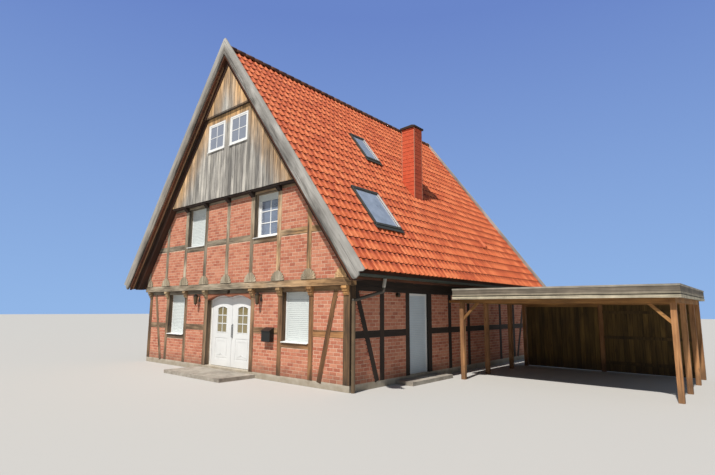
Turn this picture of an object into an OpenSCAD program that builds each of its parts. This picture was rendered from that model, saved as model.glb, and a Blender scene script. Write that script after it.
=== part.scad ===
// Half-timbered house with a steep tiled roof, a jettied gable front and a carport.
// Millimetres. X runs along the gable front, Y towards the rear, Z up.
// The origin is on the ground, under the ridge, at the middle of the house.

/* [House] */
// Width of one bay between two post axes; eight bays make the front
bay = 1250; // [1220:5:1280]
// Depth of the house over the ground-floor walls
depth = 11350; // [11150:10:11550]
// Thickness of the outer walls
wall_t = 300; // [280:5:330]
// Height of the plinth under the timber frame
plinth_h = 165; // [150:1:180]
// Level of the underside of the jetty beam
jetty_z = 2567; // [2540:1:2600]
// Height of the jetty beam and of the floor behind it
beam_h = 195; // [175:5:215]
// Overhang of the upper storey over the ground floor
jetty = 120; // [105:1:140]
// Level of the lower edge of the gable boarding
board_z = 5540; // [5480:5:5600]
// Overhang of the gable boarding over the ground floor
board_out = 320; // [300:5:345]
// Drop of the lower edge of the small top boarding below the ridge
top_drop = 2255; // [2200:5:2310]
// Overhang of the top boarding over the ground floor
top_out = 400; // [380:5:430]

/* [Timber frame] */
// Width of a wall post
post_w = 190; // [160:5:200]
// Width of a corner post
corner_w = 225; // [200:5:240]
// Depth of the timbers in the wall
frame_d = 160; // [140:5:175]
// Set-back of the brick panels behind the timber face
brick_set = 10; // [5:1:15]
// Lower level of the ground-floor rail
rail_z = 1265; // [1200:5:1300]
// Height of a rail
rail_h = 180; // [150:5:200]
// Height of the plate under the jetty beam
plate_h = 120; // [100:5:130]
// Width of a diagonal brace, measured level
brace_w = 185; // [150:5:210]
// Lower level of the upper-floor rail
upper_rail_z = 4010; // [3980:5:4040]
// Radius of the carved fans at the feet of the upper posts
fan_r = 290; // [260:5:310]
// Number of petals in a full fan
fan_n = 10; // [8:2:12]
// Height of a carved knee corbel
corbel_h = 240; // [210:5:260]

/* [Roof] */
// Level of the underside of the rafters over the faces of the side walls
eave_z = 3396; // [3360:2:3430]
// Pitch of the roof in degrees
pitch = 53.3; // [53:0.1:53.6]
// Depth of the tile layer, square to the slope
tile_t = 70; // [60:5:80]
// Depth of rafters and boarding, square to the slope
deck_t = 160; // [140:5:180]
// Level distance from the ridge to the ends of the rafters
deck_x = 5640; // [5600:5:5680]
// Overhang of the tiles past the ends of the rafters
tile_over = 95; // [70:5:110]
// Overhang of the verge over the ground floor
verge = 610; // [580:5:640]
// Width of the barge boards
barge_w = 355; // [330:5:380]
// Rise of the barge boards over the tiles, square to the slope
barge_rise = 165; // [150:5:180]
// Depth of the verge rafters below the boarding, square to the slope
verge_drop = 20; // [15:5:30]
// Depth of the rafters at the gable walls below the boarding, square to the slope
wall_rafter_h = 205; // [180:5:220]
// Thickness of the barge boards
barge_t = 40; // [30:1:50]
// Radius of the ridge tiles
ridge_r = 125; // [110:1:140]
// Radius of the gutters
gutter_r = 72; // [62:1:78]
// Radius of the downpipes
pipe_r = 48; // [40:1:52]
// Width of the chimney across the slope
chimney_w = 550; // [520:5:580]
// Length of the chimney along the ridge
chimney_l = 500; // [470:5:530]
// Drop of the top of the chimney shaft below the ridge
chimney_drop = 1840; // [1780:10:1900]

/* [Windows] */
// Level of the ground-floor window sills
sill_z = 1080; // [1060:5:1110]
// Level of the upper-floor window sills
upper_sill_z = 4065; // [4045:5:4090]
// Level of the upper-floor window heads
upper_head_z = 5410; // [5390:1:5425]
// Drop of the gable window sills below the ridge
gable_sill_drop = 3460; // [3430:5:3490]
// Height of the gable windows
gable_win_h = 960; // [920:5:980]
// Width of the gable windows
gable_win_w = 940; // [900:5:960]
// Gap between the gable windows
gable_win_gap = 290; // [270:5:310]
// Recess of the window frames behind the face
recess = 175; // [165:1:185]
// Width of a window frame with its sash
sash_w = 105; // [90:1:115]

/* [Entrance] */
// Level of the crown of the double-arched door head
crown_z = 2395; // [2385:1:2402]
// Distance of each crown from the middle of the door
crown_x = 430; // [415:1:445]
// Depth of the notch between the two arches
cusp = 52; // [46:1:58]
// Recess of the door leaves behind the face
door_recess = 190; // [180:1:200]
// Thickness of the door leaves
leaf_t = 60; // [50:1:64]
// Height of the landing in front of the door
step_h = 100; // [80:1:120]
// Width of the landing
step_w = 2960; // [2800:20:3200]
// Depth of the landing
step_d = 1190; // [1100:10:1250]
// Distance of the wall lanterns from the middle of the door
lamp_x = 1650; // [1600:5:1700]
// Level of the foot of the wall lanterns
lamp_z = 2060; // [2000:10:2100]
// Height of a wall lantern
lamp_h = 400; // [360:10:420]

/* [Carport] */
// Width of a carport post
cpost = 120; // [100:1:130]
// Level of the tops of the carport posts
cpost_z = 2180; // [2150:5:2200]
// Level of the top of the carport roof edge
fascia_z = 2600; // [2580:1:2620]
// Gap between the ends of the rafters and the near side of the carport roof
carport_gap = 195; // [185:1:210]
// Width of the carport roof
carport_w = 5650; // [5500:10:5800]

/* [Hidden] */
$fn = 64;
eps = 1;
big = 20000;

// main lines of the house
half_w = 4 * bay + corner_w / 2;
yf = depth / 2;
beam_z = jetty_z + beam_h;
beam_in = 80;
beam_over = 140;
ub_drop = 50;
ub_z = board_z - ub_drop;
ub_h = 200;
board_t = 30;
gable_t = 200;
leaf_in = wall_t - frame_d;
plate_z = jetty_z - plate_h;
tanp = tan(pitch);
cosp = cos(pitch);
under_z = eave_z + half_w * tanp;
deck_z = under_z + deck_t / cosp;
ridge_z = deck_z + tile_t / cosp;
// walls and floors stop this far below the rafters
fit = 0.3;
wall_z = under_z - fit;
top_z = ridge_z - top_drop;
gable_sill_z = ridge_z - gable_sill_drop;
chimney_z = ridge_z - chimney_drop;
verge_y = yf + verge;
roof_y = verge_y - barge_t;
tile_x = deck_x + tile_over;
carport_x = deck_x + carport_gap;
upper_y = yf + jetty;
gable_y = yf + board_out - board_t;
top_y = yf + top_out - board_t;

// side walls: post axes, measured from the front corner
side_step = 1190;
side_n = 4;
side_rest = (depth - corner_w - side_n * side_step) / 5;
side_posts = concat([for (i = [1:side_n]) i * side_step],
    [for (i = [1:4]) side_n * side_step + i * side_rest]);
function side_y(k) = -yf + corner_w / 2 + side_posts[k];

// doorway
bay_open = bay - post_w;
door_half = bay - post_w / 2;
arch_r = (crown_x * crown_x + cusp * cusp) / (2 * cusp);
arch_z = crown_z - arch_r;
spring_z = arch_z + sqrt(pow(arch_r, 2) - pow(door_half - crown_x, 2));
head_top = crown_z + 65;
jamb_w = 60;
frame_y = 70;
leaf_x = door_half - jamb_w - 15;
leaf_gap = 6;
leaf_bottom = plinth_h + 12;
hinge_x = leaf_x + 8;
hinge_y = -yf + door_recess + leaf_t + 20;
hinge_r = 7;
hinge_levels = [420, 1150, 1800];
head_frame = 45;

// half width of the space under the roof at a level
function hw(z) = (wall_z - z) / tanp;

// outline of the gable between two levels
function gable_pts(z0, z1) = concat(
    hw(z0) > half_w ? [[-half_w, eave_z - fit], [-half_w, z0], [half_w, z0], [half_w, eave_z - fit]]
        : [[-hw(z0), z0], [hw(z0), z0]],
    z1 >= wall_z ? [[0, wall_z]] : [[hw(z1), z1], [-hw(z1), z1]]);

// a flat outline in X and Z, made a slab from y0 over a depth t
module slab_y(y0, t) { translate([0, y0 + t, 0]) rotate([90, 0, 0]) linear_extrude(t) children(); }
// a flat outline in Y and Z, made a slab from x0 over a width t
module slab_x(x0, t) { translate([x0, 0, 0]) rotate([90, 0, 90]) linear_extrude(t) children(); }
module rect(x0, x1, z0, z1) { translate([x0, z0]) square([x1 - x0, z1 - z0]); }
module box(x0, x1, y0, y1, z0, z1) { translate([x0, y0, z0]) cube([x1 - x0, y1 - y0, z1 - z0]); }
module rear() { mirror([0, 1, 0]) children(); }
module both_ends() { children(); rear() children(); }
module both_sides() { children(); mirror([1, 0, 0]) children(); }
module rod(p, q, r) {
    d = q - p;
    translate(p) rotate([0, acos(d[2] / norm(d)), atan2(d[1], d[0])]) cylinder(h = norm(d), r = r);
}
module cap_ball(p, r) { translate(p) sphere(r = r); }

// ---- windows: a local frame with x along the wall, y into it from the face
module at_wall(side, pos, out) {
    if (side == "front") translate([pos, -yf - out, 0]) children();
    if (side == "rear") translate([-pos, yf + out, 0]) rotate(180) children();
    if (side == "left") translate([-half_w, pos, 0]) rotate(-90) children();
    if (side == "right") translate([half_w, pos, 0]) rotate(90) children();
}
function bay_x(i) = (i - 3.5) * bay;
side_win = [side_y(1) / 2 + side_y(2) / 2, side_y(5) / 2 + side_y(6) / 2];
side_open = [side_y(2) - side_y(1) - post_w, side_y(6) - side_y(5) - post_w];

// each window: side, middle, overhang of the face, clear width, sill level, head level, shutter drop
WG = [
    ["front", bay_x(1), 0, bay_open, sill_z, plate_z, 1],
    ["front", bay_x(6), 0, bay_open, sill_z, plate_z, 1],
    ["rear", bay_x(1), 0, bay_open, sill_z, plate_z, 0],
    ["rear", bay_x(6), 0, bay_open, sill_z, plate_z, 0],
    ["left", side_win[0], 0, side_open[0], sill_z, plate_z, 0],
    ["left", side_win[1], 0, side_open[1], sill_z, plate_z, 0]];
WU = [
    ["front", bay_x(2), jetty, bay_open, upper_sill_z, upper_head_z, 1],
    ["front", bay_x(5), jetty, bay_open, upper_sill_z, upper_head_z, 0],
    ["rear", bay_x(2), jetty, bay_open, upper_sill_z, upper_head_z, 0],
    ["rear", bay_x(5), jetty, bay_open, upper_sill_z, upper_head_z, 0]];
gwx = gable_win_gap / 2 + gable_win_w / 2;
gable_head_z = gable_sill_z + gable_win_h;
WL = [for (s = ["front", "rear"], x = [-gwx, gwx])
    [s, x, board_out, gable_win_w, gable_sill_z, gable_head_z, -1]];

box_h = 150;
pane_t = 24;
// the gable windows and the side door sit nearer to the face
thin_recess = 100;
function set_back(w) = w[6] < 0 ? thin_recess : recess;
module window_frame(w) {
    r = set_back(w);
    at_wall(w[0], w[1], w[2]) {
        difference() {
            union() {
                box(-w[3] / 2, w[3] / 2, r, r + 70, w[4], w[5]);
                if (w[6] >= 0) for (s = [-1, 1])
                    box(min(s * w[3] / 2, s * (w[3] / 2 - 28)), max(s * w[3] / 2, s * (w[3] / 2 - 28)),
                        r - 26, r + eps, w[4] + 26, w[5]);
            }
            box(-w[3] / 2 + sash_w, w[3] / 2 - sash_w, r - eps, r + 70 + eps,
                w[4] + sash_w, w[5] - sash_w - (w[6] >= 0 ? 60 : 0));
            // step between the frame and the sash
            difference() {
                box(-w[3] / 2 + 55, w[3] / 2 - 55, r - eps, r + 8, w[4] + 50, w[5] - 50);
                box(-w[3] / 2 + 62, w[3] / 2 - 62, r - 2 * eps, r + 9, w[4] + 57, w[5] - 57);
            }
        }
    }
}
module window_pane(w) {
    r = set_back(w);
    at_wall(w[0], w[1], w[2])
        box(-w[3] / 2 + sash_w, w[3] / 2 - sash_w, r + 24, r + 24 + pane_t,
            w[4] + sash_w, w[5] - sash_w - (w[6] >= 0 ? 60 : 0));
}
// a rolling shutter: closed, or only its last slats under the head
module window_shutter(w) {
    low = w[6] == 1 ? w[4] + 30 : w[5] - box_h - 60;
    at_wall(w[0], w[1], w[2]) box(-w[3] / 2 + 28, w[3] / 2 - 28, recess - 16, recess, low, w[5]);
}
module window_sill(w) {
    r = set_back(w);
    at_wall(w[0], w[1], w[2]) translate([-w[3] / 2, 0, w[4]]) rotate([90, 0, 90]) linear_extrude(w[3])
        polygon([[-38, -12], [-38, 6], [r, 26], [r, 0], [0, 0], [0, -2], [-30, -2], [-30, -12]]);
}
module window_cut(w) {
    at_wall(w[0], w[1], w[2]) box(-w[3] / 2, w[3] / 2, -eps - 40, 2 * wall_t + 100, w[4], w[5]);
}
// window holes in an outline seen from the front
module holes_2d(ws, side) {
    for (w = ws) if (w[0] == side)
        rect((side == "rear" ? -1 : 1) * w[1] - w[3] / 2, (side == "rear" ? -1 : 1) * w[1] + w[3] / 2, w[4], w[5]);
}

// ---- base and floors
module plinth() {
    color([0.86, 0.84, 0.8]) difference() {
        box(-half_w + 8, half_w - 8, -yf + 8, yf - 8, 0, plinth_h);
        box(-half_w + wall_t, half_w - wall_t, -yf + wall_t, yf - wall_t, -eps, plinth_h + eps);
    }
}
module floor_slab() {
    color([0.72, 0.66, 0.58])
        box(-half_w + wall_t, half_w - wall_t, -yf + wall_t, yf - wall_t, 0, plinth_h - 5);
}
module upper_floor() {
    color([0.62, 0.5, 0.37])
        box(-half_w + wall_t, half_w - wall_t, -yf + beam_in, yf - beam_in, jetty_z, beam_z);
}
module loft_floor() {
    color([0.62, 0.5, 0.37]) slab_y(-upper_y + beam_in, 2 * (upper_y - beam_in))
        polygon(gable_pts(ub_z, ub_z + ub_h));
}

// ---- inner leaves of the walls
module front_leaf(x0, x1, z0, z1) {
    slab_y(-yf + frame_d, leaf_in) difference() {
        rect(x0, x1, z0, z1);
        holes_2d(WG, "front");
    }
}
module front_wall_left() {
    color([0.78, 0.72, 0.64]) front_leaf(-half_w + wall_t, -door_half, plinth_h, jetty_z);
}
module front_wall_right() {
    color([0.78, 0.72, 0.64]) front_leaf(door_half, half_w - wall_t, plinth_h, jetty_z);
}
module front_wall_head() {
    color([0.78, 0.72, 0.64]) front_leaf(-door_half, door_half, head_top, jetty_z);
}
module rear_wall() {
    color([0.78, 0.72, 0.64]) rear() slab_y(-yf + frame_d, leaf_in) difference() {
        rect(-half_w + wall_t, half_w - wall_t, plinth_h, jetty_z);
        holes_2d(WG, "rear");
    }
}
// side wall in Y and Z: narrower at the corners, wider over the floor
module side_2d(corner) {
    rect(-yf + corner, yf - corner, plinth_h, jetty_z);
    rect(-yf + beam_in, yf - beam_in, jetty_z, beam_z);
    rect(-upper_y + wall_t, upper_y - wall_t, beam_z, under_z - (half_w - wall_t) * tanp + eps);
}
module roof_space() {
    slab_y(-yf - 1000, 2 * yf + 2000)
        polygon([[-half_w - 10, -eps], [-half_w - 10, wall_z - (half_w + 10) * tanp], [0, wall_z],
            [half_w + 10, wall_z - (half_w + 10) * tanp], [half_w + 10, -eps]]);
}
module side_leaf() {
    intersection() {
        slab_x(half_w - wall_t, leaf_in) side_2d(corner_w);
        roof_space();
    }
}
door_y0 = side_y(1) + post_w / 2;
door_y1 = side_y(2) - post_w / 2;
module right_wall() {
    color([0.78, 0.72, 0.64]) difference() {
        side_leaf();
        box(half_w - 700, half_w + 50, door_y0, door_y1, plinth_h, plate_z);
    }
}
module left_wall() {
    color([0.78, 0.72, 0.64]) difference() {
        mirror([1, 0, 0]) side_leaf();
        for (w = WG) if (w[0] == "left") window_cut(w);
    }
}
module upper_leaf(side) {
    slab_y(-upper_y + frame_d, leaf_in) difference() {
        polygon(gable_pts(beam_z, ub_z));
        holes_2d(WU, side);
    }
}
module front_upper_wall() { color([0.78, 0.72, 0.64]) upper_leaf("front"); }
module rear_upper_wall() { color([0.78, 0.72, 0.64]) rear() upper_leaf("rear"); }
module gable_leaf() {
    difference() {
        union() {
            slab_y(-gable_y, gable_t) polygon(gable_pts(ub_z + ub_h, under_z));
            slab_y(-top_y, gable_t) polygon(gable_pts(top_z + ub_drop, under_z));
        }
        for (w = WL) if (w[0] == "front") window_cut(w);
    }
}
module front_gable_wall() { color([0.7, 0.62, 0.5]) gable_leaf(); }
module rear_gable_wall() { color([0.7, 0.62, 0.5]) rear() gable_leaf(); }

// ---- timber frame
module ground_frame_2d(side) {
    posts = side == "front" ? [1, 2, 3, 5, 6, 7] : [1, 2, 3, 4, 5, 6, 7];
    rails = side == "front" ? [0, 2, 5, 7] : [0, 2, 3, 4, 5, 7];
    for (i = posts) rect((i - 4) * bay - post_w / 2, (i - 4) * bay + post_w / 2, plinth_h, jetty_z);
    for (s = [-1, 1])
        polygon([[s * (3.26 * bay - brace_w / 2), plinth_h], [s * (3.26 * bay + brace_w / 2), plinth_h],
            [s * (3.72 * bay + brace_w / 2), plate_z], [s * (3.72 * bay - brace_w / 2), plate_z]]);
    rect(-half_w + corner_w, half_w - corner_w, plate_z, jetty_z);
    intersection() {
        for (i = rails) rect((i - 4) * bay, (i - 3) * bay, rail_z, rail_z + rail_h);
        rect(-half_w + corner_w, half_w - corner_w, plinth_h, jetty_z);
    }
    for (i = [1, 6]) rect((i - 4) * bay, (i - 3) * bay, sill_z - 145, sill_z);
}
module upper_frame_2d() {
    intersection() {
        union() {
            for (i = [1:7]) rect((i - 4) * bay - post_w / 2, (i - 4) * bay + post_w / 2, beam_z, ub_z);
            for (s = [-1, 1]) rect(min(s * half_w, s * (half_w - corner_w)),
                max(s * half_w, s * (half_w - corner_w)), beam_z, ub_z);
            for (i = [0:7]) let(w = i == 2 || i == 5)
                rect((i - 4) * bay, (i - 3) * bay, w ? upper_sill_z - 175 : upper_rail_z,
                    w ? upper_sill_z : upper_rail_z + rail_h);
            rect(-half_w, half_w, upper_head_z, ub_z);
        }
        polygon(gable_pts(beam_z, ub_z));
    }
}
module corner_posts() {
    color([0.42, 0.33, 0.25]) both_ends() both_sides()
        box(half_w - corner_w, half_w, -yf, -yf + corner_w, plinth_h, jetty_z);
}
module gable_frame(side) {
    slab_y(-yf, frame_d) ground_frame_2d(side);
    slab_y(-upper_y, frame_d) upper_frame_2d();
}
module front_frame() { color([0.5, 0.4, 0.3]) gable_frame("front"); }
module rear_frame() { color([0.5, 0.4, 0.3]) rear() gable_frame("rear"); }
module side_frame_2d(open) {
    for (k = [0:7]) rect(side_y(k) - post_w / 2, side_y(k) + post_w / 2, plinth_h, plate_z + eps);
    rect(-yf + corner_w, yf - corner_w, plate_z, jetty_z);
    rect(-yf + beam_in, yf - beam_in, jetty_z, beam_z);
    difference() {
        rect(-yf + corner_w, yf - corner_w, rail_z, rail_z + rail_h);
        for (k = open) rect(side_y(k - 1) + post_w / 2, side_y(k) - post_w / 2, 0, plate_z);
    }
    for (s = [-1, 1]) intersection() {
        polygon([[s * (yf - corner_w - 60), plate_z], [s * (yf - corner_w - 60 + brace_w), plate_z],
            [s * (yf - corner_w - 930 + brace_w), plinth_h], [s * (yf - corner_w - 930), plinth_h]]);
        rect(-yf + corner_w, yf - corner_w, plinth_h, plate_z);
    }
}
module side_frames() {
    color([0.3, 0.22, 0.17]) {
        slab_x(half_w - frame_d, frame_d) side_frame_2d([2]);
        mirror([1, 0, 0]) slab_x(half_w - frame_d, frame_d) side_frame_2d([2, 6]);
    }
}

// ---- brick panels between the timbers
fan_back = fan_r - 45;
module fan_disc_2d() {
    for (i = [0:8]) translate([(i - 4) * bay, beam_z]) circle(r = fan_back);
}
module ground_brick_2d(side) {
    difference() {
        rect(-half_w + corner_w, half_w - corner_w, plinth_h, jetty_z);
        ground_frame_2d(side);
        holes_2d(WG, side);
        if (side == "front") rect(-door_half, door_half, 0, plate_z);
    }
}
module upper_brick_2d(side) {
    difference() {
        polygon(gable_pts(beam_z, ub_z));
        upper_frame_2d();
        holes_2d(WU, side);
        fan_disc_2d();
    }
}
module gable_brick(side) {
    slab_y(-yf + brick_set, frame_d - brick_set) ground_brick_2d(side);
    slab_y(-upper_y + brick_set, frame_d - brick_set) upper_brick_2d(side);
}
module front_brickwork() { color([0.78, 0.42, 0.34]) gable_brick("front"); }
module rear_brickwork() { color([0.78, 0.42, 0.34]) rear() gable_brick("rear"); }
module side_brick(open) {
    difference() {
        intersection() {
            slab_x(half_w - frame_d, frame_d - brick_set) difference() {
                side_2d(corner_w);
                side_frame_2d(open);
            }
            roof_space();
        }
        for (k = open) box(half_w - 700, half_w + 50, side_y(k - 1) + post_w / 2, side_y(k) - post_w / 2,
            k == 2 && len(open) == 1 ? plinth_h : sill_z, plate_z);
    }
}
module side_brickwork() {
    color([0.62, 0.34, 0.29]) {
        side_brick([2]);
        mirror([1, 0, 0]) side_brick([2, 6]);
    }
}

// ---- jetties, corbels and carved fans
module jetty_beams() {
    color([0.47, 0.42, 0.36]) both_ends()
        box(-half_w - beam_over, half_w + beam_over, -upper_y, -yf + beam_in, jetty_z, beam_z);
}
// side view of a knee corbel: three rolls that step back towards the post
module corbel_2d(d, h) {
    r = h / 7.2;
    difference() {
        union() {
            polygon([[0, 0], [d - r * 0.6, 0], [d * 0.62, -h * 0.36], [d * 0.34, -h * 0.7], [d * 0.14, -h], [0, -h]]);
            rect(0, d, -h * 0.07, 0);
            for (k = [0:2]) translate([d * (0.78 - 0.27 * k), -h * (0.2 + 0.27 * k)]) circle(r = r * (1 - 0.08 * k));
        }
        rect(-h, 0, -2 * h, h);
    }
}
module corbel(x, y, z, d, h, w) {
    translate([x - w / 2, y, z]) rotate([90, 0, 90]) linear_extrude(w) mirror([1, 0]) corbel_2d(d, h);
}
module knee_corbels() {
    color([0.6, 0.5, 0.4]) {
        for (i = [1, 2, 3, 5, 6, 7]) corbel((i - 4) * bay, -yf, jetty_z, jetty, corbel_h, post_w - 20);
        for (s = [-1, 1]) corbel(s * (half_w - corner_w / 2), -yf, jetty_z, jetty, corbel_h, post_w - 20);
        rear() for (i = [1:7]) corbel((i - 4) * bay, -yf, jetty_z, jetty, corbel_h, post_w - 20);
        rear() for (s = [-1, 1])
            corbel(s * (half_w - corner_w / 2), -yf, jetty_z, jetty, corbel_h, post_w - 20);
    }
}
module upper_beams() {
    color([0.3, 0.24, 0.19]) both_ends() {
        slab_y(-gable_y, gable_y - upper_y + beam_in) polygon(gable_pts(ub_z, ub_z + ub_h));
        for (i = [2:6]) corbel((i - 4) * bay, -upper_y, ub_z, gable_y - upper_y, corbel_h * 0.6, post_w - 20);
    }
}
// a petal: narrow at the hub, round at the tip
fan_a = 180 / fan_n;
fan_hub = 62;
function petal_w(r) = 2 * r * tan(fan_a / 2) - 9;
module petal_2d() {
    h = petal_w(fan_hub) / 2;
    t = petal_w(fan_r - 40) / 2;
    polygon([[fan_hub - 12, -h], [fan_r - t, -t], [fan_r - 0.35 * t, -0.8 * t], [fan_r, 0],
        [fan_r - 0.35 * t, 0.8 * t], [fan_r - t, t], [fan_hub - 12, h]]);
}
module fan_2d() {
    for (k = [0:fan_n - 1]) rotate((k + 0.5) * fan_a) petal_2d();
    intersection() { circle(r = fan_hub); rect(-fan_hub, fan_hub, 0, fan_hub + eps); }
}
module half_disc_2d(r) { intersection() { circle(r = r); rect(-r, r, 0, r); } }
module fan(i) {
    module clip() { translate([-(i - 4) * bay, -beam_z]) polygon(gable_pts(beam_z, ub_z)); }
    w = (i > 0 && i < 8 ? post_w : corner_w) / 2;
    translate([(i - 4) * bay, 0, beam_z]) difference() {
        union() {
            slab_y(-upper_y - 18, 14) intersection() { fan_2d(); clip(); }
            slab_y(-upper_y - 5, 65) intersection() { half_disc_2d(fan_back); clip(); }
        }
        box(-w - (i == 0 ? 50 : 0), w + (i == 8 ? 50 : 0), -upper_y, -upper_y + 70, -eps, fan_r + 20);
    }
}
module fan_rosettes() {
    color([0.62, 0.55, 0.45]) {
        for (i = [0:8]) fan(i);
        rear() for (i = [0:8]) fan(i);
    }
}

// ---- boarded gable
module gable_boards() {
    color([0.6, 0.55, 0.47]) both_ends() {
        slab_y(-gable_y - board_t, board_t) difference() {
            polygon(gable_pts(board_z, top_z + ub_drop));
            holes_2d(WL, "front");
        }
        slab_y(-top_y - board_t, board_t) polygon(gable_pts(top_z, under_z));
    }
}

// ---- roof
module slope_2d(z, t, x) {
    polygon([[0, z], [x, z - x * tanp], [x, z - x * tanp - t / cosp], [0, z - t / cosp]]);
}
sky = [[2045, -0.1264 * depth, 800, 1390], [4210, -0.3075 * depth, 1250, 1600]];
chimney_x = 3105;
chimney_y = 120;
module sky_place(s) {
    translate([s[0], s[1], ridge_z - s[0] * tanp]) rotate([0, pitch, 0]) children();
}
roof_t = tile_t + deck_t;
module sky_cut(s) { sky_place(s) box(-s[3] / 2, s[3] / 2, -s[2] / 2, s[2] / 2, -roof_t - 100, 100); }
module chimney_cut() {
    box(chimney_x - chimney_w / 2, chimney_x + chimney_w / 2, chimney_y - chimney_l / 2,
        chimney_y + chimney_l / 2, ub_z, ridge_z);
}
// boarding on rafters, with a deeper rafter at each verge and rafter feet under the eaves
rafter_w = 80;
module deck_slope() {
    slab_y(-roof_y, 2 * roof_y) slope_2d(deck_z, deck_t, deck_x);
    both_ends() slab_y(-roof_y, rafter_w) slope_2d(under_z + eps, verge_drop + eps * cosp, deck_x);
    for (y = [-4500:900:4500]) slab_y(y * depth / 11350 - rafter_w / 2, rafter_w) intersection() {
        slope_2d(under_z + eps, verge_drop + eps * cosp, deck_x - 15);
        rect(half_w + 1, deck_x, 0, ridge_z);
    }
}
// a rafter in front of a gable wall, between two levels and cut level at the eaves
trim_t = 25;
eave_cut = under_z - deck_x * tanp - 20;
module wall_rafter(y0, t, h, z0, z1) {
    slab_y(y0, t) intersection() {
        slope_2d(under_z, h, deck_x);
        rect(0, big, max(z0, eave_cut), z1);
    }
}
module wall_rafters() {
    color([0.4, 0.27, 0.18]) for (side = [0, 1]) mirror([side, 0, 0]) both_ends() {
        wall_rafter(-top_y - board_t - trim_t, trim_t, wall_rafter_h - 45, top_z, big);
        wall_rafter(-gable_y - board_t - trim_t, trim_t, wall_rafter_h, 0, top_z);
        wall_rafter(-gable_y - board_t - trim_t, gable_y + board_t + trim_t - upper_y, wall_rafter_h, 0, ub_z);
    }
}
module roof_deck_right() {
    color([0.42, 0.3, 0.22]) difference() {
        deck_slope();
        for (s = sky) sky_cut(s);
        chimney_cut();
    }
}
module roof_deck_left() {
    color([0.42, 0.3, 0.22]) mirror([1, 0, 0]) deck_slope();
}
module roof_tiles_right() {
    color([0.82, 0.36, 0.2]) difference() {
        slab_y(-roof_y, 2 * roof_y) slope_2d(ridge_z, tile_t, tile_x);
        for (s = sky) sky_cut(s);
        chimney_cut();
    }
}
module roof_tiles_left() {
    color([0.82, 0.36, 0.2]) mirror([1, 0, 0]) slab_y(-roof_y, 2 * roof_y) slope_2d(ridge_z, tile_t, tile_x);
}
module ridge_tiles() {
    color([0.8, 0.35, 0.2]) slab_y(-roof_y, 2 * roof_y) difference() {
        translate([0, ridge_z - 50]) circle(r = ridge_r);
        polygon([[0, ridge_z], [400, ridge_z - 400 * tanp], [-400, ridge_z - 400 * tanp]]);
    }
}
// one arm of a barge board, cut square at its foot with a rounded lower corner and a notch for the gutter:
// rise over the tiles at the apex and at the foot, and width at the foot
module barge_arm_2d(rise, foot_rise, foot_w) {
    len = (deck_x + 246) / cosp;
    foot = foot_rise - foot_w;
    r = 90;
    difference() {
        intersection() {
            translate([0, ridge_z]) rotate(-pitch) polygon(concat([[-2 * barge_w, rise - barge_w],
                [-2 * barge_w, rise], [0, rise], [len, foot_rise]],
                [for (a = [0:-15:-90]) [len - r + r * cos(a), foot + r + r * sin(a)]], [[0, rise - barge_w]]));
            rect(0, big, 0, ridge_z + 0.78 * rise / cosp);
        }
        rect(deck_x + 262, big, 0, eave_cut + 172);
    }
}
module barge_pair_2d(rise, foot_rise, foot_w) {
    barge_arm_2d(rise, foot_rise, foot_w);
    mirror([1, 0]) barge_arm_2d(rise, foot_rise, foot_w);
}
module barge_boards() {
    color([0.6, 0.58, 0.55]) {
        slab_y(-verge_y, barge_t) barge_pair_2d(barge_rise, barge_rise + 70, barge_w + 60);
        rear() slab_y(-verge_y, barge_t) barge_pair_2d(70, 80, barge_w);
    }
}
gutter_x = deck_x + gutter_r;
gutter_z = ridge_z - tile_x * tanp - tile_t / cosp - 8;
pipe_x = half_w + 15 + pipe_r;
pipe_y = -yf + 70;
outlet_y = -yf + 645;
pipe_top = 2200;
module gutter() {
    translate([gutter_x, 0, 0]) slab_y(-roof_y, 2 * roof_y) difference() {
        translate([0, gutter_z]) circle(r = gutter_r);
        translate([0, gutter_z]) circle(r = gutter_r - 5);
        rect(-200, 200, gutter_z, gutter_z + 200);
    }
    for (y = [-roof_y, roof_y - 5]) translate([gutter_x, 0, 0]) slab_y(y, 5) intersection() {
        translate([0, gutter_z]) circle(r = gutter_r);
        rect(-200, 200, gutter_z - 200, gutter_z);
    }
    top = [gutter_x, outlet_y, gutter_z - gutter_r + 3];
    elbow = [gutter_x, outlet_y - 85, gutter_z - gutter_r - 330];
    foot = [pipe_x, pipe_y, pipe_top];
    rod(elbow, top, pipe_r - 6);
    rod(foot, elbow, pipe_r - 6);
    cap_ball(elbow, pipe_r - 3);
    translate([pipe_x, pipe_y, 0]) cylinder(h = pipe_top, r = pipe_r);
    cap_ball(foot, pipe_r + 3);
    for (z = [500, pipe_top - 120]) box(half_w, pipe_x, pipe_y - 12, pipe_y + 12, z, z + 30);
}
module gutters() {
    color([0.28, 0.3, 0.28]) {
        gutter();
        rotate(180) gutter();
    }
}
module chimney() {
    color([0.72, 0.3, 0.2]) box(chimney_x - chimney_w / 2, chimney_x + chimney_w / 2,
        chimney_y - chimney_l / 2, chimney_y + chimney_l / 2, ub_z + ub_h, chimney_z);
}
module chimney_cap() {
    o = 60;
    w = chimney_w / 2 + o;
    l = chimney_l / 2 + o;
    color([0.25, 0.2, 0.18]) translate([chimney_x, chimney_y, chimney_z]) {
        box(-w, w, -l, l, 0, 70);
        intersection() {
            slab_y(-l, 2 * l) polygon([[-w, 69], [w, 69], [30, 240], [-30, 240]]);
            slab_x(-w, 2 * w) polygon([[-l, 69], [l, 69], [30, 240], [-30, 240]]);
        }
    }
}
module skylights() {
    color([0.5, 0.5, 0.5]) for (s = sky) sky_place(s) difference() {
        box(-s[3] / 2, s[3] / 2, -s[2] / 2, s[2] / 2, -roof_t + 5, 25);
        box(-s[3] / 2 + 75, s[3] / 2 - 75, -s[2] / 2 + 75, s[2] / 2 - 75, -roof_t - eps, 25 + eps);
    }
}

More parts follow.
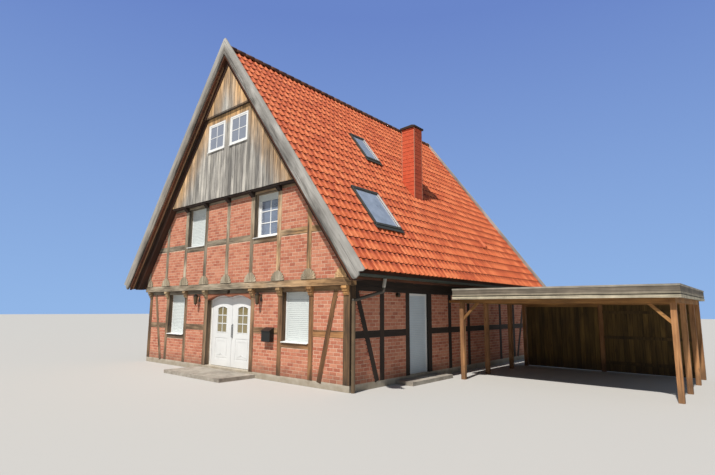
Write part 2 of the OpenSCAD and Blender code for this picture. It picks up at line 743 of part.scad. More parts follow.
// ---- window parts
module window_glass() {
    color([0.65, 0.75, 0.8, 0.5]) {
        for (w = concat(WG, WU, WL)) window_pane(w);
        for (s = sky) sky_place(s)
            box(-s[3] / 2 + 75, s[3] / 2 - 75, -s[2] / 2 + 75, s[2] / 2 - 75, -20, 8);
    }
}
module ground_window_frames() { color([0.93, 0.93, 0.92]) for (w = WG) window_frame(w); }
module upper_window_frames() { color([0.93, 0.93, 0.92]) for (w = concat(WU, WL)) window_frame(w); }
module roller_shutters() {
    color([0.85, 0.87, 0.88]) for (w = concat(WG, WU)) window_shutter(w);
    color([0.75, 0.8, 0.84]) at_wall("right", (door_y0 + door_y1) / 2, 0)
        box(-(door_y1 - door_y0) / 2 + 55, (door_y1 - door_y0) / 2 - 55, thin_recess - 20, thin_recess,
            plinth_h + 15, plate_z - 60);
}
module window_sills() { color([0.9, 0.9, 0.88]) for (w = concat(WG, WU, WL)) window_sill(w); }

// ---- entrance
// both arches together, widened or narrowed by d
module door_discs_2d(d) {
    for (s = [-1, 1]) translate([s * crown_x, arch_z]) circle(r = arch_r + d, $fn = 400);
}
// timber head between the door posts, cut out to both arches
module door_head() {
    color([0.55, 0.47, 0.38]) slab_y(-yf, frame_d) difference() {
        rect(-door_half, door_half, spring_z - 30, plate_z);
        door_discs_2d(0);
    }
}
module door_frame() {
    color([0.94, 0.94, 0.93]) {
        slab_y(-yf + door_recess, frame_y) difference() {
            rect(-door_half, door_half, plinth_h, head_top);
            intersection() {
                rect(-door_half + jamb_w, door_half - jamb_w, plinth_h - eps, big);
                union() {
                    door_discs_2d(-head_frame);
                    rect(-door_half, door_half, 0, 1500);
                }
            }
        }
        for (s = [-1, 1], z = hinge_levels) translate([s * hinge_x, hinge_y, z - 60.3]) {
            cylinder(h = 60, r = hinge_r);
            box(min(0, s * 45), max(0, s * 45), -10 - 10, 0, 0, 60);
        }
    }
}
glass_x = 545;
glass_w = 490;
glass_z0 = 1240;
glass_z1 = 2035;
module leaf_glass_2d() {
    r = (glass_w * glass_w / 4 + 55 * 55) / (2 * 55);
    intersection() {
        rect(glass_x - glass_w / 2, glass_x + glass_w / 2, glass_z0, glass_z1);
        translate([glass_x, glass_z1 - r]) circle(r = r, $fn = 96);
    }
}
module door_leaf() {
    y0 = -yf + door_recess;
    difference() {
        slab_y(y0, leaf_t) difference() {
            intersection() {
                rect(leaf_gap, leaf_x, leaf_bottom, big);
                union() {
                    translate([crown_x, arch_z]) circle(r = arch_r - head_frame - 12, $fn = 400);
                    rect(0, leaf_x, 0, 1500);
                }
            }
            leaf_glass_2d();
        }
        box(glass_x - 330, glass_x + 330, y0 - eps, y0 + 10, 400, 1050);
    }
    difference() {
        box(glass_x - 290, glass_x + 290, y0 + 1, y0 + 11, 440, 1010);
        box(glass_x - 230, glass_x + 230, y0 - eps, y0 + 6, 500, 950);
    }
    for (z = hinge_levels) translate([hinge_x, hinge_y, z]) {
        cylinder(h = 60, r = hinge_r);
        box(-40, 0, -20 - eps, 5, 0, 60);
    }
}
module door_pull() {
    y0 = -yf + door_recess;
    box(30, 75, y0 - 8, y0 + eps, 1060, 1500);
    box(45, 60, y0 - 55, y0, 1120, 1140);
    box(45, 60, y0 - 55, y0, 1420, 1440);
    translate([52.5, y0 - 48, 1090]) cylinder(h = 380, r = 10);
}
module front_door_right() { color([0.95, 0.95, 0.94]) { door_leaf(); door_pull(); } }
module front_door_left() { color([0.95, 0.95, 0.94]) mirror([1, 0, 0]) door_leaf(); }
module leaf_pane() { slab_y(-yf + door_recess + leaf_t / 2 - 12, pane_t) leaf_glass_2d(); }
module door_glass_right() { color([0.7, 0.72, 0.6]) leaf_pane(); }
module door_glass_left() { color([0.7, 0.72, 0.6]) mirror([1, 0, 0]) leaf_pane(); }
module side_door_frame() {
    color([0.93, 0.93, 0.92]) at_wall("right", (door_y0 + door_y1) / 2, 0) {
        h = (door_y1 - door_y0) / 2;
        r = thin_recess;
        difference() {
            box(-h, h, r, r + 70, plinth_h, plate_z);
            box(-h + 55, h - 55, r - eps, r + 20, plinth_h + 15, plate_z - 60);
        }
        for (s = [-1, 1]) box(min(s * h, s * (h - 55)), max(s * h, s * (h - 55)), r - 30, r + eps,
            plinth_h, plate_z);
        box(-h, h, r - 30, r + eps, plate_z - 60, plate_z);
    }
}
module steps() {
    color([0.72, 0.7, 0.66]) box(-step_w / 2, step_w / 2, -yf - step_d, -yf + 8, 0, step_h);
    color([0.4, 0.4, 0.4]) box(half_w - 8, half_w + 550, door_y0 - 680, door_y1 + 420, 0, step_h);
}
// ---- fittings
module lantern(x) {
    translate([x, -yf + brick_set, lamp_z]) scale(lamp_h / 400) {
        box(-45, 45, -14, 0, 130, 330);
        box(-10, 10, -150, -10, 300, 320);
        translate([0, -150, 0]) {
            translate([0, 0, 280]) cylinder(h = 120, r = 8);
            translate([0, 0, 320]) cylinder(h = 60, r1 = 95, r2 = 25);
            translate([0, 0, 70]) cylinder(h = 250, r1 = 52, r2 = 80);
            translate([0, 0, 40]) cylinder(h = 32, r1 = 20, r2 = 54);
            cylinder(h = 45, r = 9);
        }
    }
}
module wall_lanterns() {
    color([0.1, 0.1, 0.1]) {
        lantern(lamp_x);
        lantern(-lamp_x);
    }
    color([0.8, 0.8, 0.78]) translate([half_w - brick_set, side_y(0) / 2 + side_y(1) / 2 + 80, plate_z - 67])
        rotate([0, 90, 0]) cylinder(h = 90, r = 60);
}
module letter_box() {
    color([0.08, 0.09, 0.08]) translate([1.672 * bay, -yf - 0.3, 1060]) rotate([90, 0, 90])
        linear_extrude(370, center = true)
        polygon([[0, 0], [-150, 0], [-150, 290], [-175, 290], [-175, 305], [0, 400]]);
}

// ---- carport
cx0 = carport_x + 195;
cx1 = carport_x + carport_w - 195;
cys = [-1675, -100, 1750, 3100];
gate_post_x = cx0 + 2.59 * 1000;
cbeam_h = 140;
cbeam_z = cpost_z + cbeam_h;
croof_y0 = -1925;
croof_y1 = 3300;
c_deck_z = fascia_z - 40;
module cpost_at(x, y) { box(x - cpost / 2, x + cpost / 2, y - cpost / 2, y + cpost / 2, 0, cpost_z); }
module carport_posts() {
    color([0.62, 0.45, 0.25]) {
        for (x = [cx0, cx1], y = cys) cpost_at(x, y);
        cpost_at(gate_post_x, cys[3]);
        gate_hinge();
        gate_mirror() gate_hinge();
    }
}
module knee(x, s) {
    a = 0.22 * cpost_z;
    slab_y(cys[0] - 35, 70) polygon([[x + s * cpost / 2, cpost_z - a], [x + s * (cpost / 2 + a), cpost_z],
        [x + s * (cpost / 2 + a - 100), cpost_z], [x + s * cpost / 2, cpost_z - a + 100]]);
}
module carport_beams() {
    color([0.55, 0.4, 0.24]) {
        for (x = [cx0, cx1]) box(x - 50, x + 50, cys[0] - 60, cys[3] + 60, cpost_z, cbeam_z);
        for (y = cys) box(cx0 - 50, cx1 + 50, y - 50, y + 50, cpost_z, cbeam_z);
        knee(cx0, 1);
        knee(cx1, -1);
        // stop for the gates under the rear beam
        box(gate_x0, gate_x1, cys[3] - 45, cys[3] - 20, cpost_z - 70, cpost_z + eps);
        // ties from the near beam to posts of the side wall
        for (k = [3, 5, 6]) box(half_w, cx0, side_y(k) - 40, side_y(k) + 40, cpost_z + 30, cbeam_z - 30);
    }
}
module carport_roof() {
    color([0.45, 0.42, 0.38]) {
        box(carport_x + 25, carport_x + carport_w - 25, croof_y0 + 25, croof_y1 - 25, c_deck_z - 90, c_deck_z);
        for (k = [0:8]) let(x = carport_x + 60 + k * (carport_w - 120) / 8)
            box(x - 30, x + 30, croof_y0 + 25, croof_y1 - 25, cbeam_z, c_deck_z - 90 + eps);
    }
}
module carport_fascia() {
    color([0.55, 0.54, 0.5]) difference() {
        box(carport_x, carport_x + carport_w, croof_y0, croof_y1, cbeam_z - 30, fascia_z);
        box(carport_x + 25, carport_x + carport_w - 25, croof_y0 + 25, croof_y1 - 25, 0, fascia_z + eps);
        // recessed boards under the top strip, then a thin strip and a deep groove over the lowest one
        fascia_ring(0.45, 0.855, 10);
        fascia_ring(0.305, 0.45, 4);
        fascia_ring(0.232, 0.305, 16);
    }
}
// a ring cut into the outer face of the roof edge, between two parts of its height
module fascia_ring(a, b, d) {
    z0 = cbeam_z - 30;
    h = fascia_z - z0;
    difference() {
        box(carport_x - eps, carport_x + carport_w + eps, croof_y0 - eps, croof_y1 + eps, z0 + a * h, z0 + b * h);
        box(carport_x + d, carport_x + carport_w - d, croof_y0 + d, croof_y1 - d, 0, big);
    }
}
panel_y = cys[3] + cpost / 2;
module carport_boards() {
    color([0.5, 0.38, 0.24]) {
        box(gate_post_x + 20, cx1 + cpost / 2, panel_y, panel_y + 22, 15, cbeam_z - 20);
        for (z = [0.12, 0.495, 0.87] * cpost_z) box(gate_post_x + cpost / 2, cx1 - cpost / 2, panel_y - 45, panel_y, z, z + 90);
    }
}
gate_x0 = cx0 + cpost / 2;
gate_x1 = gate_post_x - cpost / 2;
gate_mid = (gate_x0 + gate_x1) / 2;
gate_y = cys[3] + 5;
gate_hinge_y = panel_y + 10;
gate_levels = [0.151, 0.853] * cpost_z;
module gate_leaf() {
    x0 = gate_x0 + 16;
    x1 = gate_mid - 5;
    box(x0, x1, gate_y - 8, gate_y + 14, 20, cpost_z - 25);
    for (z = gate_levels) box(x0 + 10, x1 - 10, gate_y + 14 - eps, gate_y + 40, z - 20, z + 80);
    for (z = gate_levels) {
        translate([gate_x0 + 8, gate_hinge_y, z]) cylinder(h = 50, r = 6);
        box(gate_x0 + 8, gate_x0 + 60, gate_hinge_y - 5, gate_hinge_y + 1, z, z + 50);
        box(x0 + 14, gate_x0 + 60, gate_y + 20, gate_hinge_y, z, z + 50);
    }
}
module gate_hinge() {
    for (z = gate_levels) {
        translate([gate_x0 + 8, gate_hinge_y, z - 50.3]) cylinder(h = 50, r = 6);
        box(gate_x0 - 50, gate_x0 + 8, panel_y, gate_hinge_y, z - 50.3, z - 0.3);
    }
}
module gate_mirror() { translate([2 * gate_mid, 0, 0]) mirror([1, 0, 0]) children(); }
module gate_left() { color([0.52, 0.4, 0.25]) { gate_leaf(); gate_bolt(); } }
module gate_right() { color([0.52, 0.4, 0.25]) gate_mirror() gate_leaf(); }
// drop bolt and latch on the carport side of the left leaf
module gate_bolt() {
    bolt = 0.15 * cpost_z;
    translate([gate_mid - 32, gate_y - 16, 60]) cylinder(h = bolt, r = 7);
    for (z = [90, bolt]) box(gate_mid - 45, gate_mid - 15, gate_y - 22, gate_y - 7, z, z + 25);
    box(gate_mid - 150, gate_mid - 20, gate_y - 14, gate_y - 7, cpost_z / 2, cpost_z / 2 + 40);
}

plinth();
floor_slab();
upper_floor();
loft_floor();
front_wall_left();
front_wall_right();
front_wall_head();
rear_wall();
left_wall();
right_wall();
front_upper_wall();
rear_upper_wall();
front_gable_wall();
rear_gable_wall();
front_brickwork();
rear_brickwork();
side_brickwork();
front_frame();
rear_frame();
side_frames();
corner_posts();
jetty_beams();
upper_beams();
knee_corbels();
fan_rosettes();
gable_boards();
roof_deck_right();
roof_deck_left();
wall_rafters();
roof_tiles_right();
roof_tiles_left();
ridge_tiles();
barge_boards();
gutters();
chimney();
chimney_cap();
skylights();
window_glass();
ground_window_frames();
upper_window_frames();
roller_shutters();
window_sills();
door_head();
door_frame();
front_door_left();
front_door_right();
door_glass_left();
door_glass_right();
side_door_frame();
steps();
wall_lanterns();
letter_box();
carport_posts();
carport_beams();
carport_roof();
carport_fascia();
carport_boards();
gate_left();
gate_right();
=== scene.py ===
import math
import random

import bmesh
import bpy
from mathutils import Matrix, Vector, noise


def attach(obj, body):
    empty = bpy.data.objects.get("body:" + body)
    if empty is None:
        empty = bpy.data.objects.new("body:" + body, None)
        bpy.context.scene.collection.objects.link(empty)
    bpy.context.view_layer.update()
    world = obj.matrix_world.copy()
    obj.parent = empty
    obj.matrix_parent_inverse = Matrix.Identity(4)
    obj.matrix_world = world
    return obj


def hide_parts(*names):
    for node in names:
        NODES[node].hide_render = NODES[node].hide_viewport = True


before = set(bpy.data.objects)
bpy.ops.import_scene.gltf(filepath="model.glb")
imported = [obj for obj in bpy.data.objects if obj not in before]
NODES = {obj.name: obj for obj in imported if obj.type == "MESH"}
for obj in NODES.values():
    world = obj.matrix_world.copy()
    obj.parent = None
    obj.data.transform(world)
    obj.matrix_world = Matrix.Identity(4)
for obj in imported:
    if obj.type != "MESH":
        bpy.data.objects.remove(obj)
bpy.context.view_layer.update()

SCENE = bpy.context.scene
dice = random.Random(11)

# ---- main sizes in metres, as in the construction
BAY, HALF_W, YF = 1.25, 5.1125, 5.675
PLINTH, RAIL, RAIL_H = 0.165, 1.265, 0.18
SILL, SILL_H, UPPER_SILL_H = 1.08, 0.145, 0.175
JETTY_Z, BEAM_Z, PLATE_Z = 2.567, 2.762, 2.447
UPPER_Y, UPPER_RAIL, UPPER_SILL, UPPER_HEAD = 5.795, 4.01, 4.065, 5.41
UB_Z, BOARD_Z, GABLE_Y = 5.49, 5.54, 5.965
TOP_Z, TOP_Y = 8.3845, 6.045
POST, CORNER, DEPTH, BRACE = 0.19, 0.225, 0.16, 0.185
PITCH = math.radians(53.3)
RIDGE, UNDER = 10.6395, 10.2543
ROOF_Y, TILE_X, DECK_X = 6.245, 5.735, 5.64
SKY = [(2.045, -1.4346, 0.8, 1.39), (4.21, -3.4901, 1.25, 1.6)]
CHIMNEY = (2.83, 3.38, -0.13, 0.37, 8.7995)
SIDE_Y = [-5.5625 + 1.19 * i for i in (1, 2, 3, 4)] + [-0.8025 + 1.273 * i for i in (1, 2, 3, 4)]
GABLE_WIN = (0.145, 1.085, 7.18, 8.14)


def srgb(r, g, b):
    """A linear colour from the usual 0 to 255 values."""
    f = lambda v: v / 12.92 if v <= 0.04045 else ((v + 0.055) / 1.055) ** 2.4
    return (f(r / 255), f(g / 255), f(b / 255), 1.0)


# ---- shader helpers
def feed(t, sockets, values):
    """Links each named socket to another, or sets its value."""
    for k, v in values.items():
        if isinstance(v, bpy.types.NodeSocket):
            t.links.new(v, sockets[k])
        else:
            sockets[k].default_value = v


def put(t, kind, ins=None, out=0, **attrs):
    n = t.nodes.new("ShaderNode" + kind)
    for k, v in attrs.items():
        setattr(n, k, v)
    feed(t, n.inputs, ins or {})
    return n.outputs[out]


def place(t):
    """Object coordinates."""
    return put(t, "TexCoord", out=3)


def axis(t, k):
    """One of the object coordinates."""
    return put(t, "SeparateXYZ", {0: place(t)}, out=k)


def calc(t, op, a, b=0.0, clamp=False):
    return put(t, "Math", {0: a, 1: b}, operation=op, use_clamp=clamp)


def vec(t, op, a, b):
    return put(t, "VectorMath", {0: a, 1: b}, operation=op)


def ramp(t, v, lo, hi, to_lo=0.0, to_hi=1.0):
    return put(t, "MapRange", {"Value": v, "From Min": lo, "From Max": hi, "To Min": to_lo, "To Max": to_hi})


def mix(t, f, a, b, blend="MIX"):
    return put(t, "Mix", {0: f, 6: a, 7: b}, out=2, data_type="RGBA", blend_type=blend)


def fuzz(t, v, scale, detail=3.0, rough=0.55):
    return put(t, "TexNoise", {"Vector": v, "Scale": scale, "Detail": detail, "Roughness": rough})


def shade(t, col, f):
    """The colour times a brightness."""
    return mix(t, 1.0, col, put(t, "CombineColor", {0: f, 1: f, 2: f}), "MULTIPLY")


def sway(t, n, size):
    """Noise as a swing of the given size about nothing."""
    return calc(t, "MULTIPLY", calc(t, "SUBTRACT", n, 0.5), size)


def group(name, ins, outs):
    g = bpy.data.node_groups.new(name, "ShaderNodeTree")
    for key, kind, value in ins:
        s = g.interface.new_socket(name=key, in_out="INPUT", socket_type="NodeSocket" + kind)
        s.default_value = value
    for key, kind in outs:
        g.interface.new_socket(name=key, in_out="OUTPUT", socket_type="NodeSocket" + kind)
    a, b = g.nodes.new("NodeGroupInput"), g.nodes.new("NodeGroupOutput")
    return g, a.outputs, b.inputs


def wood_group():
    """Wood with its grain along x: streaks, worn patches, cracks and knots."""
    g, i, o = group("timber", [
        ("Coord", "Vector", (0, 0, 0)), ("Tint", "Float", 0.5), ("Dark", "Color", (0, 0, 0, 1)),
        ("Mid", "Color", (0, 0, 0, 1)), ("Light", "Color", (0, 0, 0, 1)), ("Weather", "Float", 0.5),
        ("Cracks", "Float", 0.5)], [("Color", "Color"), ("Height", "Float")])
    v = i["Coord"]
    coarse = fuzz(g, vec(g, "MULTIPLY", v, (1.3, 19, 19)), 1.0, 5.0, 0.62)
    fine = fuzz(g, vec(g, "MULTIPLY", v, (4.0, 120, 120)), 1.0, 2.0)
    patch = fuzz(g, vec(g, "MULTIPLY", v, (0.9, 3.2, 3.2)), 1.0, 3.0)
    split = fuzz(g, vec(g, "MULTIPLY", v, (0.8, 27, 27)), 1.0, 2.0, 0.4)
    crack = calc(g, "MULTIPLY", ramp(g, split, 0.63, 0.69), i["Cracks"], True)
    knot = put(g, "TexVoronoi", {"Vector": vec(g, "MULTIPLY", v, (1.5, 6, 6)), "Scale": 1.0})
    knot = ramp(g, knot, 0.05, 0.12, 1.0, 0.0)
    grain = calc(g, "ADD", calc(g, "MULTIPLY", coarse, 0.72), calc(g, "MULTIPLY", fine, 0.28))
    col = mix(g, ramp(g, grain, 0.36, 0.62), i["Dark"], i["Mid"])
    worn = calc(g, "MULTIPLY", ramp(g, patch, 0.42, 0.66), i["Weather"], True)
    col = mix(g, worn, col, mix(g, ramp(g, grain, 0.3, 0.7), i["Mid"], i["Light"]))
    # a negative tint darkens the arrises of a piece: painted shade along its edges
    tone_and_edge_shade = calc(g, "MULTIPLY", ramp(g, i["Tint"], 0.0, 1.0, 0.66, 1.32), ramp(g, i["Tint"], -1.0, 0.0, 0.22, 1.0))
    col = shade(g, col, tone_and_edge_shade)
    col = mix(g, calc(g, "MAXIMUM", crack, calc(g, "MULTIPLY", knot, 0.7)), col, mix(g, 0.75, col, (0.01, 0.007, 0.005, 1)))
    g.links.new(col, o["Color"])
    h = calc(g, "SUBTRACT", grain, calc(g, "MULTIPLY", crack, 1.4))
    g.links.new(h, o["Height"])
    return g


def speckle_group():
    """Fired clay, render and stone: blotches of three colours with pits."""
    g, i, o = group("speckle", [
        ("Coord", "Vector", (0, 0, 0)), ("Tint", "Float", 0.5), ("A", "Color", (0, 0, 0, 1)),
        ("B", "Color", (0, 0, 0, 1)), ("C", "Color", (0, 0, 0, 1)), ("Scale", "Float", 10.0),
        ("Spread", "Float", 0.5)], [("Color", "Color"), ("Height", "Float")])
    v = i["Coord"]
    big = put(g, "TexNoise", {"Vector": v, "Scale": i["Scale"], "Detail": 4.0, "Roughness": 0.6})
    small = fuzz(g, v, 95.0, 3.0)
    pits = ramp(g, put(g, "TexVoronoi", {"Vector": v, "Scale": 60.0}), 0.0, 0.25)
    t = calc(g, "ADD", calc(g, "MULTIPLY", i["Tint"], i["Spread"]),
             calc(g, "MULTIPLY", ramp(g, big, 0.3, 0.7), calc(g, "SUBTRACT", 1.0, i["Spread"])))
    col = mix(g, ramp(g, t, 0.1, 0.5), i["A"], i["B"])
    col = mix(g, ramp(g, t, 0.5, 0.95), col, i["C"])
    col = shade(g, col, ramp(g, small, 0.35, 0.65, 0.9, 1.06))
    g.links.new(col, o["Color"])
    g.links.new(calc(g, "ADD", calc(g, "MULTIPLY", small, 0.6), calc(g, "MULTIPLY", pits, 0.4)), o["Height"])
    return g


def grime_group():
    """Dirt that gathers near the ground and in soft patches."""
    g, i, o = group("grime", [
        ("Color", "Color", (1, 1, 1, 1)), ("Dirt", "Color", (0.1, 0.08, 0.06, 1)), ("Top", "Float", 0.5),
        ("Amount", "Float", 0.4), ("Patches", "Float", 0.1)], [("Color", "Color"), ("Mask", "Float")])
    p = place(g)
    height = calc(g, "SUBTRACT", axis(g, 2), calc(g, "MULTIPLY", fuzz(g, p, 3.5, 5.0, 0.6), i["Top"]))
    low = calc(g, "MULTIPLY", ramp(g, height, 0.0, 0.28, 1.0, 0.0), i["Amount"])
    spots = calc(g, "MULTIPLY", ramp(g, fuzz(g, p, 1.1, 6.0, 0.6), 0.52, 0.72), i["Patches"])
    m = calc(g, "MAXIMUM", low, spots, True)
    g.links.new(mix(g, m, i["Color"], i["Dirt"]), o["Color"])
    g.links.new(m, o["Mask"])
    return g


WOOD, SPECKLE, GRIME = wood_group(), speckle_group(), grime_group()


def use(t, g, ins):
    n = t.nodes.new("ShaderNodeGroup")
    n.node_tree = g
    feed(t, n.inputs, ins)
    return n.outputs


M = {}


def new_mat(name):
    """Enters a new material in M and returns its empty node tree."""
    M[name] = m = bpy.data.materials.new(name)
    m.use_nodes = True
    m.node_tree.nodes.clear()
    return m.node_tree


def surface(t, color, rough=0.7, height=None, dist=0.002, strength=0.6, **more):
    b = t.nodes.new("ShaderNodeBsdfPrincipled")
    out = t.nodes.new("ShaderNodeOutputMaterial")
    t.links.new(b.outputs[0], out.inputs[0])
    feed(t, b.inputs, {"Base Color": color, "Roughness": rough, **more})
    if height is not None:
        h = put(t, "Bump", {"Height": height, "Distance": dist, "Strength": strength})
        t.links.new(h, b.inputs["Normal"])


def coord(t, way):
    """Texture coordinates with x along the grain."""
    if way == "grain":
        return put(t, "Attribute", out=1, attribute_name="grain")
    if way == "x":
        return place(t)
    if way == "slope":
        x, z = calc(t, "ABSOLUTE", axis(t, 0)), axis(t, 2)
        down = calc(t, "SUBTRACT", calc(t, "MULTIPLY", x, math.cos(PITCH)), calc(t, "MULTIPLY", z, math.sin(PITCH)))
        out = calc(t, "ADD", calc(t, "MULTIPLY", x, math.sin(PITCH)), calc(t, "MULTIPLY", z, math.cos(PITCH)))
        return put(t, "CombineXYZ", {0: down, 1: axis(t, 1), 2: out})
    order = {"y": (1, 0, 2), "z": (2, 0, 1)}[way]
    return put(t, "CombineXYZ", {k: axis(t, order[k]) for k in range(3)})


def over_tiles(t):
    """Distance over the plane of the tiles, square to it."""
    a = calc(t, "MULTIPLY", calc(t, "ABSOLUTE", axis(t, 0)), math.sin(PITCH))
    b = calc(t, "MULTIPLY", calc(t, "SUBTRACT", axis(t, 2), RIDGE), math.cos(PITCH))
    return calc(t, "ADD", a, b)


def tint_of(t, way):
    """How dark or light a piece is: from its own layer, or in soft patches."""
    if way == "grain":
        return put(t, "Attribute", out=2, attribute_name="tint")
    return ramp(t, fuzz(t, place(t), 0.9, 1.0), 0.3, 0.7)


def timber(name, way, dark, mid, light, weather=0.5, cracks=0.6, dirt=0.25, top=None, warm_glow=None, rise=None, warm=None,
           deep=None, low=None):
    t = new_mat(name)
    w = use(t, WOOD, {"Coord": coord(t, way), "Tint": tint_of(t, way), "Dark": srgb(*dark), "Mid": srgb(*mid),
                      "Light": srgb(*light), "Weather": weather, "Cracks": cracks})
    col = w["Color"]
    if warm:
        # a warmer colour from warm[0] to warm[1] along x
        f = ramp(t, calc(t, "ADD", axis(t, 0), sway(t, fuzz(t, place(t), 0.9, 3.0), 5.0)), warm[0], warm[1], 0.0, 0.9)
        col = mix(t, f, col, mix(t, 1.0, col, (*warm[2], 1.0), "MULTIPLY"))
    if low:
        # browner below this level
        col = mix(t, calc(t, "LESS_THAN", axis(t, 2), low), col, mix(t, 1.0, col, (0.68, 0.54, 0.44, 1.0), "MULTIPLY"))
    if deep:
        # painted shade behind the face of a carving, in the hollows between its petals
        y = calc(t, "ABSOLUTE", axis(t, 1))
        col = mix(t, calc(t, "LESS_THAN", y, deep), col, mix(t, 1.0, col, (0.2, 0.17, 0.14, 1.0), "MULTIPLY"))
    if warm_glow:
        # warmer, brighter boards near the verges and just under the top boarding: a painted warm glow of light
        n = fuzz(t, vec(t, "MULTIPLY", place(t), (5.0, 5.0, 0.9)), 1.0, 4.0)
        d = calc(t, "ADD", calc(t, "MULTIPLY", over_tiles(t), -1.0), sway(t, n, 0.9))
        z = axis(t, 2)
        under = calc(t, "MULTIPLY", ramp(t, z, TOP_Z - 0.42, TOP_Z - 0.1, 0.0, 1.2),
                     calc(t, "LESS_THAN", z, TOP_Z - 0.012))
        f = calc(t, "MAXIMUM", ramp(t, d, 0.35, 1.2, 1.0, 0.0), under, True)
        col = mix(t, f, col, mix(t, 1.0, col, srgb(*warm_glow), "MULTIPLY"))
        # a dark line along the foot of the top boarding: painted shadow
        edge = calc(t, "MULTIPLY", calc(t, "GREATER_THAN", z, TOP_Z - 0.012), calc(t, "LESS_THAN", z, TOP_Z + 0.05))
        col = mix(t, calc(t, "MULTIPLY", edge, 0.75), col, srgb(52, 34, 22))
    if rise:
        # paler above the plane of the tiles
        n = fuzz(t, vec(t, "MULTIPLY", coord(t, way), (0.5, 6.0, 6.0)), 1.0, 4.0)
        d = calc(t, "ADD", over_tiles(t), sway(t, n, 0.5))
        col = mix(t, ramp(t, d, -0.12, 0.12, 0.0, 0.55), col, srgb(*rise))
    if top:
        # faces that look up are bleached
        n = put(t, "SeparateXYZ", {0: put(t, "NewGeometry", out=1)}, out=2)
        col = mix(t, ramp(t, n, 0.3, 0.5), col, srgb(*top))
    g = use(t, GRIME, {"Color": col, "Dirt": srgb(46, 38, 30), "Top": 0.35, "Amount": 0.5, "Patches": dirt})
    surface(t, g["Color"], 0.8, w["Height"], 0.004, 0.7)


def mineral(name, a, b, c, scale=8.0, spread=0.0, way="x", rough=0.85, dist=0.002, dirt=0.15, top=0.5, amount=0.4):
    t = new_mat(name)
    tint = tint_of(t, way)
    w = use(t, SPECKLE, {"Coord": coord(t, way), "Tint": tint, "A": srgb(*a), "B": srgb(*b),
                         "C": srgb(*c), "Scale": scale, "Spread": spread})
    # a negative tint marks edges that are painted dark: painted shade under tile lips, in tile hollows and along slab
    # edges
    edge = put(t, "Clamp", {"Value": ramp(t, tint, -2.0, 0.0, 0.25, 1.0), "Min": 0.0, "Max": 1.0})
    col = shade(t, w["Color"], edge)
    g = use(t, GRIME, {"Color": col, "Dirt": srgb(92, 82, 68), "Top": top, "Amount": amount, "Patches": dirt})
    surface(t, g["Color"], rough, w["Height"], dist, 0.6)


def paint(name, color, rough=0.35, dirt=0.12, metallic=0.0, spec=0.5):
    t = new_mat(name)
    p = place(t)
    n = fuzz(t, p, 2.0, 5.0)
    col = mix(t, ramp(t, n, 0.35, 0.7, 0.0, 0.5), srgb(*color), srgb(*[v * 0.93 for v in color]))
    g = use(t, GRIME, {"Color": col, "Dirt": srgb(110, 100, 86), "Top": 0.25, "Amount": dirt * 2.0, "Patches": dirt})
    r = ramp(t, fuzz(t, p, 9.0, 4.0), 0.3, 0.7, rough, rough + 0.12)
    r = calc(t, "ADD", r, calc(t, "MULTIPLY", g["Mask"], 0.4), True)
    surface(t, g["Color"], r, fuzz(t, p, 240.0, 2.0), 0.0006, 0.4, **{"Metallic": metallic, "Specular IOR Level": spec})


def strips_of(t, base, levels):
    """Colour in strips by height: a list of (level, colour), each colour from that level up."""
    z, col = axis(t, 2), srgb(*base)
    for level, c in levels:
        col = mix(t, calc(t, "GREATER_THAN", z, level), col, srgb(*c))
    return col


def bands(name, base, levels, rough=0.7):
    """Boards in strips by height."""
    t = new_mat(name)
    p = place(t)
    n = fuzz(t, vec(t, "MULTIPLY", p, (1.2, 1.2, 60)), 1.0, 5.0, 0.62)
    col = strips_of(t, base, levels)
    streak = calc(t, "MULTIPLY", ramp(t, n, 0.34, 0.66, 0.55, 1.2),
                  ramp(t, fuzz(t, p, 2.6, 4.0), 0.35, 0.65, 0.75, 1.15))
    col = shade(t, col, streak)
    g = use(t, GRIME, {"Color": col, "Dirt": srgb(70, 64, 52), "Top": 0.0, "Amount": 0.0, "Patches": 0.35})
    surface(t, g["Color"], rough, n, 0.003, 0.5)


def pipes(name, dark, light):
    """Dark gutters over lighter downpipes, with a painted shade strip on the sloping pipe and a painted highlight on
    the outlets.
    """
    t = new_mat(name)
    p = place(t)
    # from 2.18 to 2.52 a painted shade on the sloping pipe; from 2.52 to 2.74 a painted highlight of sun on the outlets
    col = strips_of(t, light, ((2.18, (74, 66, 56)), (2.52, (176, 168, 154)), (2.74, dark)))
    col = shade(t, col, ramp(t, fuzz(t, p, 5.0, 5.0), 0.35, 0.7, 0.8, 1.12))
    surface(t, col, ramp(t, fuzz(t, p, 9.0, 4.0), 0.3, 0.7, 0.4, 0.6), fuzz(t, p, 200.0, 2.0), 0.0006, 0.4)


def pane_mat(name, tint, dark, low, high, sheen):
    """Glass under a diffuse film, with reflections that grow at a slant. The film stands for curtains behind the door
    glass, for a painted reflection of the sky on the skylights, and for both on the windows.
    """
    t = new_mat(name)
    p = place(t)
    wave = put(t, "Bump", {"Height": fuzz(t, p, 1.6, 1.0), "Distance": 0.02, "Strength": 0.25})
    gloss = put(t, "BsdfGlossy", {"Color": (1, 1, 1, 1), "Roughness": 0.02, "Normal": wave})
    clear = put(t, "BsdfTransparent", {"Color": srgb(*tint)})
    curtain_and_reflection = put(t, "BsdfDiffuse", {"Color": srgb(*dark)})
    film = ramp(t, fuzz(t, p, 3.0, 5.0), 0.3, 0.75, low, high)
    body = put(t, "MixShader", {0: film, 1: clear, 2: curtain_and_reflection})
    f = put(t, "Fresnel", {"IOR": 1.52, "Normal": wave})
    f = calc(t, "ADD", calc(t, "MULTIPLY", f, 1.6), sheen, True)
    out = t.nodes.new("ShaderNodeOutputMaterial")
    t.links.new(put(t, "MixShader", {0: f, 1: body, 2: gloss}), out.inputs[0])


